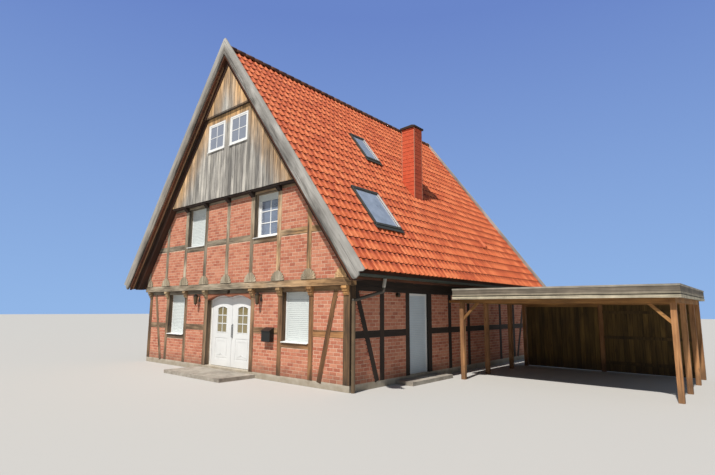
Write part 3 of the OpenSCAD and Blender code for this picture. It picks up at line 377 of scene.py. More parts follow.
HONEY = (1.3, 0.9, 0.54)
timber("oak", "grain", (72, 62, 49), (144, 130, 110), (206, 193, 170), 0.9, 0.9, warm=(0.2, 3.8, HONEY),
       dirt=0.25, low=PLATE_Z)
timber("corner", "grain", (52, 38, 26), (104, 78, 52), (146, 114, 78), 0.6, 0.7)
timber("head", "x", (112, 64, 44), (160, 100, 72), (184, 124, 92), 0.5, 0.6)
timber("oak_dark", "grain", (30, 23, 18), (50, 37, 28), (84, 66, 52), 0.45, 0.6)
timber("beam_x", "x", (26, 18, 13), (46, 30, 22), (72, 50, 36), 0.4, 0.5)
timber("boards", "grain", (104, 101, 97), (152, 148, 142), (202, 196, 184), 1.0, 0.5, dirt=0.0,
       warm_glow=(306, 250, 182))
timber("barge", "slope", (54, 50, 45), (132, 128, 122), (212, 209, 202), 0.85, 0.9, top=(160, 154, 142),
       rise=(184, 181, 175), warm=(1.5, -2.0, (0.74, 0.66, 0.58)))
timber("batten", "grain", (130, 96, 68), (176, 138, 104), (206, 172, 138), 0.5, 0.3)
timber("carve", "z", (104, 80, 54), (168, 142, 108), (214, 196, 160), 0.7, 0.3, warm=(0.0, 4.0, HONEY))
timber("fan", "z", (112, 100, 80), (172, 158, 134), (218, 206, 184), 0.7, 0.3, warm=(3.4, 5.4, HONEY), deep=5.7995)
# soffit and rafters are darkened past their brown wood: painted shade under the overhangs
timber("soffit", "y", (60, 32, 18), (98, 54, 30), (128, 78, 46), 0.4, 0.4)
timber("rafter", "slope", (44, 25, 15), (66, 37, 22), (88, 54, 34), 0.4, 0.4)
timber("honey", "z", (122, 80, 46), (174, 126, 82), (196, 152, 106), 0.5, 0.5)
timber("honey_x", "x", (122, 82, 44), (166, 118, 64), (190, 146, 90), 0.5, 0.5)
timber("brown", "grain", (62, 46, 20), (106, 82, 38), (140, 112, 60), 0.5, 0.5)
timber("brown_z", "z", (58, 44, 22), (96, 74, 38), (128, 102, 58), 0.4, 0.4)
bands("fascia", (190, 180, 156), [(2.3622, (46, 40, 30)), (2.385, (156, 146, 126)), (2.43, (118, 108, 94)),
                                  (2.554, (164, 156, 142))])
# the ridge tiles are much darker than the other tiles: partly their own dirt, partly painted shade of their shaded side
mineral("ridge", (62, 40, 30), (96, 58, 40), (132, 92, 68), 5.0, 0.5, "grain", 0.75, 0.001, 0.3)
timber("lining", "z", (52, 42, 34), (70, 58, 46), (90, 76, 60), 0.3, 0.3)
timber("floor", "y", (120, 88, 58), (152, 116, 78), (170, 134, 92), 0.3, 0.2)
mineral("brick", (168, 96, 74), (190, 120, 93), (202, 138, 110), 14.0, 0.72, "grain", 0.9, 0.002, 0.08)
mineral("mortar", (182, 150, 128), (204, 172, 148), (220, 192, 168), 5.0, 0.0, "x", 0.95, 0.003, 0.1)
mineral("tile", (178, 78, 42), (208, 106, 60), (226, 132, 84), 6.0, 0.6, "grain", 0.62, 0.001, 0.06)
mineral("clad", (178, 66, 38), (204, 86, 50), (222, 112, 74), 6.0, 0.6, "grain", 0.6, 0.001, 0.06)
mineral("plinth", (198, 184, 162), (222, 210, 190), (234, 224, 206), 3.0, 0.0, "x", 0.9, 0.003, 0.3, 0.2, 0.6)
mineral("plaster", (198, 190, 176), (212, 205, 192), (222, 216, 206), 1.2, 0.0, "x", 0.9, 0.001, 0.02)
mineral("screed", (150, 142, 132), (166, 158, 148), (180, 172, 162), 2.0, 0.0, "x", 0.8, 0.001, 0.1, 0.0, 0.0)
mineral("stone", (132, 124, 114), (160, 152, 140), (184, 176, 164), 5.0, 0.3, "x", 0.85, 0.002, 0.2, 0.0, 0.0)
mineral("felt", (78, 76, 72), (98, 95, 90), (122, 118, 110), 2.5, 0.0, "x", 0.95, 0.003, 0.3)
paint("white", (240, 240, 238), 0.3, 0.02)
paint("door", (226, 227, 226), 0.3, 0.03)
paint("slats", (212, 218, 216), 0.45, 0.04)
# a bluer copy of the slat paint for the shutter on the shaded side wall: painted cool light of the shade
paint("slats_blue", (206, 218, 226), 0.42, 0.05)
paint("black", (24, 26, 25), 0.35, 0.05)
bands("iron", (26, 22, 19), [(2.135, (86, 70, 46)), (2.372, (26, 22, 19))], 0.35)
pipes("gutter", (46, 54, 46), (104, 86, 64))
paint("zinc", (190, 130, 104), 0.45, 0.15)
paint("lead", (58, 60, 56), 0.5, 0.15)
paint("pale_metal", (196, 188, 182), 0.4, 0.1)
paint("cap", (60, 48, 42), 0.8, 0.15, 0.0, 0.2)
paint("pull", (112, 114, 116), 0.3, 0.02, 0.6)
mineral("joint", (58, 28, 20), (72, 36, 26), (90, 48, 36))
# blue-grey film: partly net curtains, partly a painted reflection of the sky
pane_mat("glass", (226, 236, 240), (150, 164, 188), 0.55, 0.8, 0.18)
pane_mat("amber", (120, 108, 74), (142, 128, 84), 0.7, 0.9, 0.02)
pane_mat("pale_pane", (200, 208, 220), (146, 152, 166), 0.9, 0.97, 0.08)
# the pale blue film of the skylights is a painted reflection of the sky
pane_mat("sky_pane", (200, 208, 220), (186, 198, 220), 0.6, 1.0, 0.2)


for node, name in {
        "plinth": "plinth", "floor_slab": "screed", "upper_floor": "floor", "loft_floor": "floor",
        **dict.fromkeys(("front_wall_left", "front_wall_right", "front_wall_head", "rear_wall", "left_wall", "right_wall",
                         "front_upper_wall", "rear_upper_wall"), "plaster"),
        **dict.fromkeys(("front_gable_wall", "rear_gable_wall"), "lining"),
        **dict.fromkeys(("front_brickwork", "rear_brickwork", "side_brickwork"), "mortar"),
        "upper_beams": "beam_x", "knee_corbels": "carve", "fan_rosettes": "fan",
        "roof_deck_right": "soffit", "roof_deck_left": "soffit", "wall_rafters": "rafter", "barge_boards": "barge",
        "gutters": "gutter", "chimney": "joint", "chimney_cap": "cap", "skylights": "lead",
        "window_glass": "glass", "ground_window_frames": "white", "upper_window_frames": "white",
        "roller_shutters": "slats", "window_sills": "white", "door_head": "head", "door_frame": "white",
        "front_door_left": "door", "front_door_right": "door", "door_glass_left": "amber",
        "door_glass_right": "amber", "side_door_frame": "white", "steps": "stone", "wall_lanterns": "iron",
        "letter_box": "black", "carport_posts": "honey", "carport_beams": "honey_x", "carport_roof": "felt",
        "carport_fascia": "fascia", "carport_boards": "brown_z", "gate_left": "brown_z", "gate_right": "brown_z",
        "ridge_tiles": "tile", "corner_posts": "corner"}.items():
    NODES[node].data.materials.clear()
    NODES[node].data.materials.append(M[name])


# ---- mesh helpers
def piece(name, bm, mats, body="house", replaces=()):
    me = bpy.data.meshes.new(name)
    bm.to_mesh(me)
    bm.free()
    for m in [mats] if isinstance(mats, str) else mats:
        me.materials.append(M[m])
    o = bpy.data.objects.new(name, me)
    SCENE.collection.objects.link(o)
    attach(o, body)
    if replaces:
        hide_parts(*replaces)


def blank():
    """An empty mesh with the layers that the materials read."""
    bm = bmesh.new()
    bm.verts.layers.float_vector.new("grain")
    bm.verts.layers.float.new("tint")
    return bm


SCRAP = bpy.data.meshes.new("scrap")


def join(bm, t, matrix=None):
    """Adds the mesh t to bm, moved by matrix."""
    t.to_mesh(SCRAP)
    t.free()
    if matrix is not None:
        SCRAP.transform(matrix)
    bm.from_mesh(SCRAP)


def stamp(t, tint=None):
    """Fills in the grain and tint layers from where the points are now."""
    g, k = t.verts.layers.float_vector["grain"], t.verts.layers.float["tint"]
    off = Vector((dice.uniform(-40, 40), dice.uniform(-40, 40), dice.uniform(-40, 40)))
    value = dice.random() if tint is None else tint
    for v in t.verts:
        v[g] = v.co + off
        v[k] = value


def beam(bm, p, q, width, depth, normal=(0, -1, 0), bevel=0.006, wob=0.003, tint=None, cuts=None):
    """A timber from p to q: width across, depth along normal, with eased and slightly uneven edges."""
    p, q = Vector(p), Vector(q)
    x = (q - p).normalized()
    z = Vector(normal)
    y = z.cross(x).normalized()
    z = x.cross(y)
    length = (q - p).length
    t = blank()
    bmesh.ops.create_cube(t, size=1.0, matrix=Matrix.Diagonal((length, width, depth, 1.0)))
    if bevel:
        along = [e for e in t.edges if abs(e.verts[0].co.x - e.verts[1].co.x) > length * 0.5]
        bmesh.ops.bevel(t, geom=along, offset=bevel, segments=1, affect="EDGES", profile=0.5, material=-1)
    n = cuts if cuts is not None else min(8, int(length / 0.3))
    if n and wob:
        along = [e for e in t.edges if abs(e.verts[0].co.x - e.verts[1].co.x) > length * 0.5]
        bmesh.ops.subdivide_edges(t, edges=along, cuts=n)
    stamp(t, tint)
    # the front arrises get a negative tint, which the materials turn dark: painted shade along the edges
    k = t.verts.layers.float["tint"]
    for v in t.verts:
        if bevel and v.co.z > 0 and abs(v.co.y) > width / 2 - 1e-4:
            v[k] = -0.8
    if wob:
        seed = Vector((dice.uniform(0, 99), 0, 0))
        for v in t.verts:
            s = v.co * 2.1 + seed
            v.co.y += wob * noise.noise(s) * 2
            v.co.z += wob * noise.noise(s + Vector((7, 3, 5)))
    m = Matrix((x, y, z)).transposed().to_4x4()
    m.translation = (p + q) / 2
    join(bm, t, m)


def block(bm, x0, x1, y0, y1, z0, z1, bevel=0.0):
    t = blank()
    m = Matrix.Translation(((x0 + x1) / 2, (y0 + y1) / 2, (z0 + z1) / 2)) @ Matrix.Diagonal((x1 - x0, y1 - y0, z1 - z0, 1))
    bmesh.ops.create_cube(t, size=1.0, matrix=m)
    if bevel:
        bmesh.ops.bevel(t, geom=t.edges[:], offset=bevel, segments=1, affect="EDGES", profile=0.5, material=-1)
    stamp(t)
    join(bm, t)


def trim_roof(bm):
    """Cuts away what would stand above the underside of the roof."""
    for s in (-1, 1):
        n = Vector((s * math.sin(PITCH), 0, math.cos(PITCH)))
        geom = bm.verts[:] + bm.edges[:] + bm.faces[:]
        bmesh.ops.bisect_plane(bm, geom=geom, plane_co=(0, 0, UNDER), plane_no=n, clear_outer=True)


def half_turn(bm):
    bmesh.ops.rotate(bm, verts=bm.verts[:], cent=(0, 0, 0), matrix=Matrix.Rotation(math.pi, 3, "Z"))


def px(i):
    """The axis of post i of the gable walls."""
    return (i - 4) * BAY


# ---- timber frames of the gable ends
PLATE_MID, JETTY_MID, HEAD_MID = (PLATE_Z + JETTY_Z) / 2, (JETTY_Z + BEAM_Z) / 2, (UPPER_HEAD + UB_Z) / 2


def gable_timbers(front):
    low, high = blank(), blank()
    y0, y1 = -YF + DEPTH / 2, -UPPER_Y + DEPTH / 2
    for i in ([1, 2, 3, 5, 6, 7] if front else range(1, 8)):
        beam(low, (px(i), y0, PLINTH), (px(i), y0, JETTY_Z), POST, DEPTH, bevel=0.014)
    for s in (-1, 1):
        foot, head = s * 3.26 * BAY, s * 3.72 * BAY
        beam(low, (foot, y0 + 0.002, PLINTH - 0.03), (head, y0 + 0.002, PLATE_Z + 0.03), BRACE * 0.97, DEPTH, bevel=0.014)
        beam(high, (s * 5.01, y1, BEAM_Z), (s * 5.01, y1, 3.7), 0.205, DEPTH)
    for i in ([0, 2, 5, 7] if front else [0, 2, 3, 4, 5, 7]):
        rail = RAIL + RAIL_H / 2
        beam(low, (px(i) + 0.07, y0 + 0.004, rail), (px(i + 1) - 0.07, y0 + 0.004, rail), RAIL_H, DEPTH, bevel=0.014)
    for i in range(8):
        a, b = max(px(i) + 0.07, -4.9), min(px(i + 1) - 0.07, 4.9)
        # the plate under the jetty gets tint 0.0, the darkest tone: painted shade
        beam(low, (a, y0 + 0.003, PLATE_MID), (b, y0 + 0.003, PLATE_MID), JETTY_Z - PLATE_Z, DEPTH, tint=0.0)
        if i in (1, 6):
            beam(low, (a, y0 + 0.003, SILL - SILL_H / 2), (b, y0 + 0.003, SILL - SILL_H / 2), SILL_H, DEPTH)
        w = i in (2, 5)
        width = UPPER_SILL_H if w else RAIL_H
        z = UPPER_SILL - width / 2 if w else UPPER_RAIL + width / 2
        beam(high, (a, y1 + 0.003, z), (b, y1 + 0.003, z), width, DEPTH, bevel=0.014)
        beam(high, (a, y1 + 0.003, HEAD_MID), (b, y1 + 0.003, HEAD_MID), UB_Z - UPPER_HEAD, DEPTH)
    for i in range(1, 8):
        beam(high, (px(i), y1, BEAM_Z), (px(i), y1, UB_Z), POST, DEPTH, bevel=0.014)
    trim_roof(high)
    return low, high


for front in (True, False):
    end = "front" if front else "rear"
    low, high = gable_timbers(front)
    if not front:
        half_turn(low)
        half_turn(high)
    piece(end + "_lower_timbers", low, "oak", replaces=[end + "_frame"])
    piece(end + "_upper_timbers", high, "oak")
corner = blank()
for sx in (-1, 1):
    for sy in (-1, 1):
        x, y = sx * (HALF_W - CORNER / 2), sy * (YF - CORNER / 2)
        beam(corner, (x, y, PLINTH), (x, y, JETTY_Z), CORNER, CORNER, bevel=0.012)
piece("corner_timbers", corner, "corner", replaces=["corner_posts"])
jetty = blank()
for s in (-1, 1):
    y = s * (UPPER_Y + YF - 0.08) / 2
    beam(jetty, (-HALF_W - 0.14, y, JETTY_MID), (HALF_W + 0.14, y, JETTY_MID), BEAM_Z - JETTY_Z, UPPER_Y - YF + 0.08,
         bevel=0.012, cuts=30)
piece("jetty_timbers", jetty, "oak", replaces=["jetty_beams"])

# ---- side frames
side = blank()
for s in (-1, 1):
    x = s * (HALF_W - DEPTH / 2)
    n = (s, 0, 0)
    for y in SIDE_Y:
        beam(side, (x, y, PLINTH), (x, y, PLATE_Z + 0.02), POST, DEPTH, n)
    ys = [-YF + CORNER] + SIDE_Y + [YF - CORNER]
    rail = RAIL + RAIL_H / 2
    for k in range(9):
        a, b = ys[k] + (0.08 if k else 0.0), ys[k + 1] - (0.08 if k < 8 else 0.0)
        if not (k == 2 or (s < 0 and k == 6)):
            beam(side, (x - s * 0.004, a, rail), (x - s * 0.004, b, rail), RAIL_H, DEPTH, n)
    for z, inset, width in ((PLATE_MID, CORNER, JETTY_Z - PLATE_Z), (JETTY_MID, 0.08, BEAM_Z - JETTY_Z)):
        beam(side, (x - s * 0.001, -YF + inset, z), (x - s * 0.001, YF - inset, z), width, DEPTH, n, cuts=30)
    for e in (-1, 1):
        c, d = YF - CORNER - 0.06 + BRACE / 2, YF - CORNER - 0.93 + BRACE / 2
        beam(side, (x - s * 0.001, e * (d - 0.03), PLINTH), (x - s * 0.001, e * (c - 0.06), PLATE_Z), BRACE * 0.92,
             DEPTH, n)
piece("side_timbers", side, "oak_dark", replaces=["side_frames"])

# ---- bricks: real blocks that stand a few millimetres out of the mortar
COURSE, STEP, LONG, HIGH = 0.0942, 0.235, 0.2225, 0.0815


def brick_master():
    t = bmesh.new()
    bmesh.ops.create_cube(t, size=1.0, matrix=Matrix.Diagonal((LONG, 0.02, HIGH, 1)))
    back = [f for f in t.faces if f.normal.y > 0.9]
    bmesh.ops.delete(t, geom=back, context="FACES_ONLY")
    rim = [e for e in t.edges if all(v.co.y < 0 for v in e.verts)]
    bmesh.ops.bevel(t, geom=rim, offset=0.004, segments=1, affect="EDGES", profile=0.5, material=-1)
    me = bpy.data.meshes.new("brick_master")
    t.to_mesh(me)
    t.free()
    return me


MASTER = brick_master()


class Bricks:
    """Courses of bricks in a wall plane: x along it, z up, y the depth of the face."""

    def __init__(self):
        self.bm = bmesh.new()
        self.tints = []

    def one(self, x0, x1, z0, z1, y):
        m = Matrix.Translation(((x0 + x1) / 2, y + 0.01 + dice.uniform(-0.001, 0.001), (z0 + z1) / 2))
        m = m @ Matrix.Rotation(dice.uniform(-0.006, 0.006), 4, "Y")
        m = m @ Matrix.Diagonal(((x1 - x0) / LONG, 1, (z1 - z0) / HIGH, 1))
        MASTER.transform(m)
        self.bm.from_mesh(MASTER)
        MASTER.transform(m.inverted())
        self.tints.append(dice.random())

    def panel(self, x0, x1, z0, z1, y, keep=None):
        for r in range(int((z1 - z0) / COURSE + 0.85)):
            a = z0 + r * COURSE + 0.007
            b = min(a + HIGH, z1 - 0.004)
            if b - a < 0.02:
                continue
            x = x0 - (STEP / 2 if r % 2 else 0.0) - 0.06 * ((x0 * 7.3) % 1)
            while x < x1:
                c, d = max(x, x0), min(x + LONG, x1)
                if d - c > 0.03 and (keep is None or keep(c, d, a, b)):
                    self.one(c, d, a, b, y)
                x += STEP

    def mesh(self, roof=False, matrix=None):
        """The finished mesh with its layers."""
        bm = self.bm
        g, k = bm.verts.layers.float_vector.new("grain"), bm.verts.layers.float.new("tint")
        n = len(bm.verts) // max(1, len(self.tints))
        for j, v in enumerate(bm.verts):
            v[k] = self.tints[j // n]
            v[g] = v.co + Vector((0, self.tints[j // n] * 50, 0))
        if roof:
            trim_roof(bm)
        if matrix is not None:
            bmesh.ops.transform(bm, matrix=matrix, verts=bm.verts[:])
        return bm


def gable_bricks(front):
    w = Bricks()
    y0, y1 = -YF + 0.006, -UPPER_Y + 0.006
    for i in range(8):
        a, b = max(px(i) + 0.05, -4.92), min(px(i + 1) - 0.05, 4.92)
        if i in (1, 6):
            w.panel(a, b, PLINTH, SILL - SILL_H, y0)
        elif not (i in (3, 4) and front):
            w.panel(a, b, PLINTH, RAIL, y0)
            w.panel(a, b, RAIL + RAIL_H, PLATE_Z, y0)
    slope = lambda c, d, lo, hi: lo < UNDER - min(abs(c), abs(d)) * math.tan(PITCH)
    for i in range(8):
        a, b = px(i) + 0.05, px(i + 1) - 0.05
        if i in (2, 5):
            w.panel(a, b, BEAM_Z, UPPER_SILL - UPPER_SILL_H, y1)
        else:
            w.panel(a, b, BEAM_Z, UPPER_RAIL, y1, slope)
            w.panel(a, b, UPPER_RAIL + RAIL_H, UPPER_HEAD, y1, slope)
    return w.mesh(True, None if front else Matrix.Rotation(math.pi, 4, "Z"))


piece("front_bricks", gable_bricks(True), "brick")
piece("rear_bricks", gable_bricks(False), "brick")


def side_bricks(s):
    w = Bricks()
    ys = [-YF + CORNER] + SIDE_Y + [YF - CORNER]
    for k in range(9):
        a, b = ys[k] + (0.0 if k == 0 else 0.05), ys[k + 1] - (0.0 if k == 8 else 0.05)
        if k == 2 and s > 0:
            continue
        if s < 0:
            a, b = -b, -a
        if k == 2 or (s < 0 and k == 6):
            w.panel(a, b, PLINTH, SILL, -HALF_W + 0.006)
        else:
            w.panel(a, b, PLINTH, RAIL, -HALF_W + 0.006)
            w.panel(a, b, RAIL + RAIL_H, PLATE_Z, -HALF_W + 0.006)
    return w.mesh(False, Matrix.Rotation(s * math.pi / 2, 4, "Z"))


piece("right_bricks", side_bricks(1), "brick")
piece("left_bricks", side_bricks(-1), "brick")


# ---- boarded gables
BOARD = 0.165  # about the width of one board


def board_run(bm, x0, x1, z0, z1, y):
    """Upright boards side by side, cut off under the roof."""
    n = max(1, round((x1 - x0) / BOARD))
    edges = [x0 + (x1 - x0) * (k + (dice.uniform(-0.12, 0.12) if 0 < k < n else 0)) / n for k in range(n + 1)]
    for a, b in zip(edges, edges[1:]):
        top = min(z1, UNDER - min(abs(a), abs(b)) * math.tan(PITCH) if a * b > 0 else z1)
        if top - z0 < 0.05:
            continue
        lift = dice.uniform(0, 0.004)
        foot = z0 - dice.uniform(0, 0.006)
        beam(bm, ((a + b) / 2, y + 0.013 + lift, foot), ((a + b) / 2, y + 0.013 + lift, top), b - a - 0.006, 0.024,
             bevel=0.003, wob=0.0012, cuts=6)


for s in (1, -1):
    bm = blank()
    g0, g1, g2, g3 = GABLE_WIN
    y = -GABLE_Y - 0.03
    w = (UNDER - BOARD_Z) / math.tan(PITCH)
    board_run(bm, -w, -g1, BOARD_Z, TOP_Z + 0.05, y)
    board_run(bm, g1, w, BOARD_Z, TOP_Z + 0.05, y)
    board_run(bm, -g0, g0, BOARD_Z, TOP_Z + 0.05, y)
    for a, b in ((-g1, -g0), (g0, g1)):
        board_run(bm, a, b, BOARD_Z, g2, y)
        board_run(bm, a, b, g3, TOP_Z + 0.05, y)
    w = (UNDER - TOP_Z) / math.tan(PITCH)
    board_run(bm, -w, w, TOP_Z, UNDER, -TOP_Y - 0.03)
    trim_roof(bm)
    if s < 0:
        half_turn(bm)
    piece("front_boarding" if s > 0 else "rear_boarding", bm, "boards",
          replaces=["gable_boards"] if s > 0 else ())


# ---- pantiles
def pantile(width, length, rise):
    """One clay pantile: an S across, a lip at its foot. x across, y up the slope, z out."""
    t = blank()
    n = 8
    row = [t.verts.new((width * (k / n - 0.5), 0, 0)) for k in range(n + 1)]
    geom = [t.edges.new((a, b)) for a, b in zip(row, row[1:])]
    gap = length - 0.07
    steps = [(0.0, 0.02), (gap * 0.55, 0.0), (gap * 0.45 - 0.035, 0.0), (0.025, 0.0), (0.08, 0.0)]
    for dy, dz in steps:
        r = bmesh.ops.extrude_edge_only(t, edges=geom)
        vs = [g for g in r["geom"] if isinstance(g, bmesh.types.BMVert)]
        geom = [g for g in r["geom"] if isinstance(g, bmesh.types.BMEdge) and all(v in vs for v in g.verts)]
        bmesh.ops.translate(t, verts=vs, vec=(0, dy, dz))
    for v in t.verts:
        u = v.co.x / width + 0.5
        roll = math.exp(-((u - 0.2) / 0.13) ** 2) + math.exp(-((u - 1.2) / 0.13) ** 2)
        v.co.z += rise * roll + 0.028 * (1 - v.co.y / length) - rise - 0.032
    # the end under the next tile's foot and the low hollows get negative tints: painted shade
    k = t.verts.layers.float["tint"]
    for v in t.verts:
        v[k] = -2.0 if v.co.y > gap - 0.02 else -1.2 if v.co.z < -rise else 0.0
    bmesh.ops.recalc_face_normals(t, faces=t.faces[:])
    if sum(f.normal.z for f in t.faces) < 0:
        bmesh.ops.reverse_faces(t, faces=t.faces[:])
    for f in t.faces:
        f.smooth = f.normal.z > 0.3
    for e in t.edges:
        if len(e.link_faces) == 2 and e.link_faces[0].smooth != e.link_faces[1].smooth:
            e.smooth = False
    return t


def slope_tiles(s):
    """All pantiles of one slope: s is 1 for the right one and -1 for the left."""
    across, up = 55, 26
    total = TILE_X / math.cos(PITCH)
    w, c = 2 * ROOF_Y / across, (total - 0.04) / up
    t = pantile(w * 1.04, c + 0.07, 0.042)
    me = bpy.data.meshes.new("tile_master")
    t.to_mesh(me)
    per = len(me.vertices)
    t.free()
    a = Vector((0, s, 0))
    u = Vector((-s * math.cos(PITCH), 0, math.sin(PITCH)))
    n = Vector((s * math.sin(PITCH), 0, math.cos(PITCH)))
    base = Matrix((a, u, n)).transposed().to_4x4()
    base.translation = Vector((s * TILE_X, 0, RIDGE - TILE_X * math.tan(PITCH)))
    bm = blank()
    tints = []
    for r in range(up):
        for k in range(across):
            x = (k + 0.5 - across / 2) * w
            m = base @ Matrix.Translation((x, r * c, dice.uniform(-0.0015, 0.0015)))
            for turn, way in ((0.007, "Z"), (0.006, "X")):
                m = m @ Matrix.Rotation(dice.uniform(-turn, turn), 4, way)
            me.transform(m)
            bm.from_mesh(me)
            me.transform(m.inverted())
            tints.append(dice.random())
    g, k = bm.verts.layers.float_vector["grain"], bm.verts.layers.float["tint"]
    for j, v in enumerate(bm.verts):
        v[k] = v[k] or tints[j // per]
        v[g] = v.co + Vector((0, 0, tints[j // per] * 30))
    return bm


def over(bm, x0, x1, y0, y1):
    """The faces whose centres lie over a level rectangle."""
    return [f for f in bm.faces if x0 < f.calc_center_median().x < x1 and y0 < f.calc_center_median().y < y1]


def cut_hole(bm, x0, x1, y0, y1):
    """Opens a level rectangle in a roof layer."""
    for co, no in (((x0, 0, 0), (1, 0, 0)), ((x1, 0, 0), (1, 0, 0)), ((0, y0, 0), (0, 1, 0)), ((0, y1, 0), (0, 1, 0))):
        near = over(bm, x0 - 0.5, x1 + 0.5, y0 - 0.5, y1 + 0.5)
        es = list({e for f in near for e in f.edges})
        vs = list({v for f in near for v in f.verts})
        bmesh.ops.bisect_plane(bm, geom=near + es + vs, plane_co=co, plane_no=no)
    bmesh.ops.delete(bm, geom=over(bm, x0, x1, y0, y1), context="FACES")


right = slope_tiles(1)
for x, y, w, l in SKY:
    h = l / 2 * math.cos(PITCH)
    cut_hole(right, x - h, x + h, y - w / 2, y + w / 2)
cut_hole(right, *CHIMNEY[:4])
piece("pantiles_right", right, "tile", replaces=["roof_tiles_right"])
piece("pantiles_left", slope_tiles(-1), "tile", replaces=["roof_tiles_left"])

ridge = blank()
count = 34
step = 2 * ROOF_Y / count
for k in range(count):
    t = blank()
    bmesh.ops.create_cone(t, cap_ends=False, segments=20, radius1=0.106, radius2=0.092, depth=step + 0.05)
    bmesh.ops.rotate(t, verts=t.verts[:], cent=(0, 0, 0), matrix=Matrix.Rotation(math.pi / 2, 3, "X"))
    bmesh.ops.delete(t, geom=[v for v in t.verts if v.co.z < -0.07], context="VERTS")
    bmesh.ops.solidify(t, geom=t.faces[:], thickness=0.012)
    stamp(t)
    for f in t.faces:
        f.smooth = abs(f.normal.y) < 0.5
    join(ridge, t, Matrix.Translation((0, -ROOF_Y + (k + 0.5) * step, RIDGE - 0.055)))
piece("ridge_row", ridge, "ridge", replaces=["ridge_tiles"])


# ---- windows
def wall_matrix(side, pos, out):
    if side == "front":
        return Matrix.Translation((pos, -YF - out, 0))
    if side == "rear":
        return Matrix.Translation((-pos, YF + out, 0)) @ Matrix.Rotation(math.pi, 4, "Z")
    s = -1 if side == "left" else 1
    return Matrix.Translation((s * HALF_W, pos, 0)) @ Matrix.Rotation(s * math.pi / 2, 4, "Z")


def mid(a, b):
    return (SIDE_Y[a] + SIDE_Y[b]) / 2, SIDE_Y[b] - SIDE_Y[a] - POST


OPEN = BAY - POST
ENDS = ("front", "rear")
# each: wall, place along it, how far out, width, sill, head, and 1 where its shutter is down or -1 in the boarded gable
WINDOWS = [(e, x * BAY, 0, OPEN, SILL, PLATE_Z, int(e == "front")) for e in ENDS for x in (-2.5, 2.5)]
WINDOWS += [("left", at, 0, width, SILL, PLATE_Z, 0) for at, width in (mid(1, 2), mid(5, 6))]
WINDOWS += [(e, x * BAY, UPPER_Y - YF, OPEN, UPPER_SILL, UPPER_HEAD, int(e == "front" and x < 0))
            for e in ENDS for x in (-1.5, 1.5)]
WINDOWS += [(e, x, 0.32, 0.94, *GABLE_WIN[2:], -1) for e in ENDS for x in (-0.615, 0.615)]
RECESS, THIN = 0.175, 0.1
bars, slats, panes = blank(), blank(), blank()
for side_name, pos, out, w, z0, z1, shut in WINDOWS:
    m = wall_matrix(side_name, pos, out)
    if shut < 0:
        # outer frame, sash, bars and pane, flush with the boards
        t, a = blank(), w / 2 - 0.001
        for b, c, y0 in ((a, a - 0.05, -0.006), (a - 0.05, a - 0.096, 0.004)):
            lo, hi = z0 + (0.001 if b == a else 0.05), z1 - (0.001 if b == a else 0.05)
            for e in (-1, 1):
                block(t, min(e * b, e * c), max(e * b, e * c), y0, THIN - 0.001, lo, hi, 0.003)
            block(t, -c, c, y0, THIN - 0.001, hi - (b - c), hi, 0.003)
            block(t, -c, c, y0, THIN - 0.001, lo, lo + b - c, 0.003)
        block(t, -0.011, 0.011, 0.008, 0.02, z0 + 0.08, z1 - 0.08, 0.003)
        block(t, -a + 0.08, a - 0.08, 0.009, 0.02, (z0 + z1) / 2 - 0.011, (z0 + z1) / 2 + 0.011, 0.003)
        join(bars, t, m)
        t = blank()
        block(t, -a + 0.08, a - 0.08, 0.016, 0.02, z0 + 0.08, z1 - 0.08)
        join(panes, t, m)
        continue
    # glazing bars
    t = blank()
    h, foot, top = w / 2 - 0.105, z0 + 0.105, z1 - 0.165
    for k in (1, 2):
        z = foot + (top - foot) * k / 3
        block(t, -h, h, RECESS + 0.012, RECESS + 0.024, z - 0.014, z + 0.014, 0.003)
    block(t, -0.014, 0.014, RECESS + 0.011, RECESS + 0.024, foot, top, 0.003)
    join(bars, t, m)
    # slats of the roller shutter, let down or rolled up
    t = blank()
    low = z0 + 0.03 if shut else z1 - 0.21
    z = z1
    while z - 0.052 > low:
        z -= 0.052
        b = blank()
        at = Matrix.Translation((0, RECESS - 0.008, z + 0.026))
        bmesh.ops.create_cube(b, size=1.0, matrix=at @ Matrix.Diagonal((w - 0.056, 0.011, 0.049, 1)))
        face = [e for e in b.edges
                if all(v.co.y < RECESS - 0.01 for v in e.verts) and abs(e.verts[0].co.x - e.verts[1].co.x) > 0.1]
        bmesh.ops.bevel(b, geom=face, offset=0.009, segments=2, affect="EDGES", profile=0.5, material=-1)
        stamp(b)
        join(t, b)
    block(t, -w / 2 + 0.03, w / 2 - 0.03, RECESS - 0.016, RECESS - 0.001, low, z, 0.003)
    join(slats, t, m)
piece("window_bars", bars, "white")
piece("gable_panes", panes, "pale_pane")
door_y, door_w = mid(1, 2)
shutter_side = blank()
t = blank()
z = PLATE_Z - 0.06
while z > PLINTH + 0.05:
    z -= 0.05
    block(t, -door_w / 2 + 0.055, door_w / 2 - 0.055, THIN - 0.019, THIN - 0.006, z + 0.002, z + 0.048, 0.006)
join(shutter_side, t, wall_matrix("right", door_y, 0))
piece("shutter_slats", slats, "slats", replaces=["roller_shutters"])
# the side shutter takes the bluer slat paint: painted shade tint
piece("side_shutter_slats", shutter_side, "slats_blue")


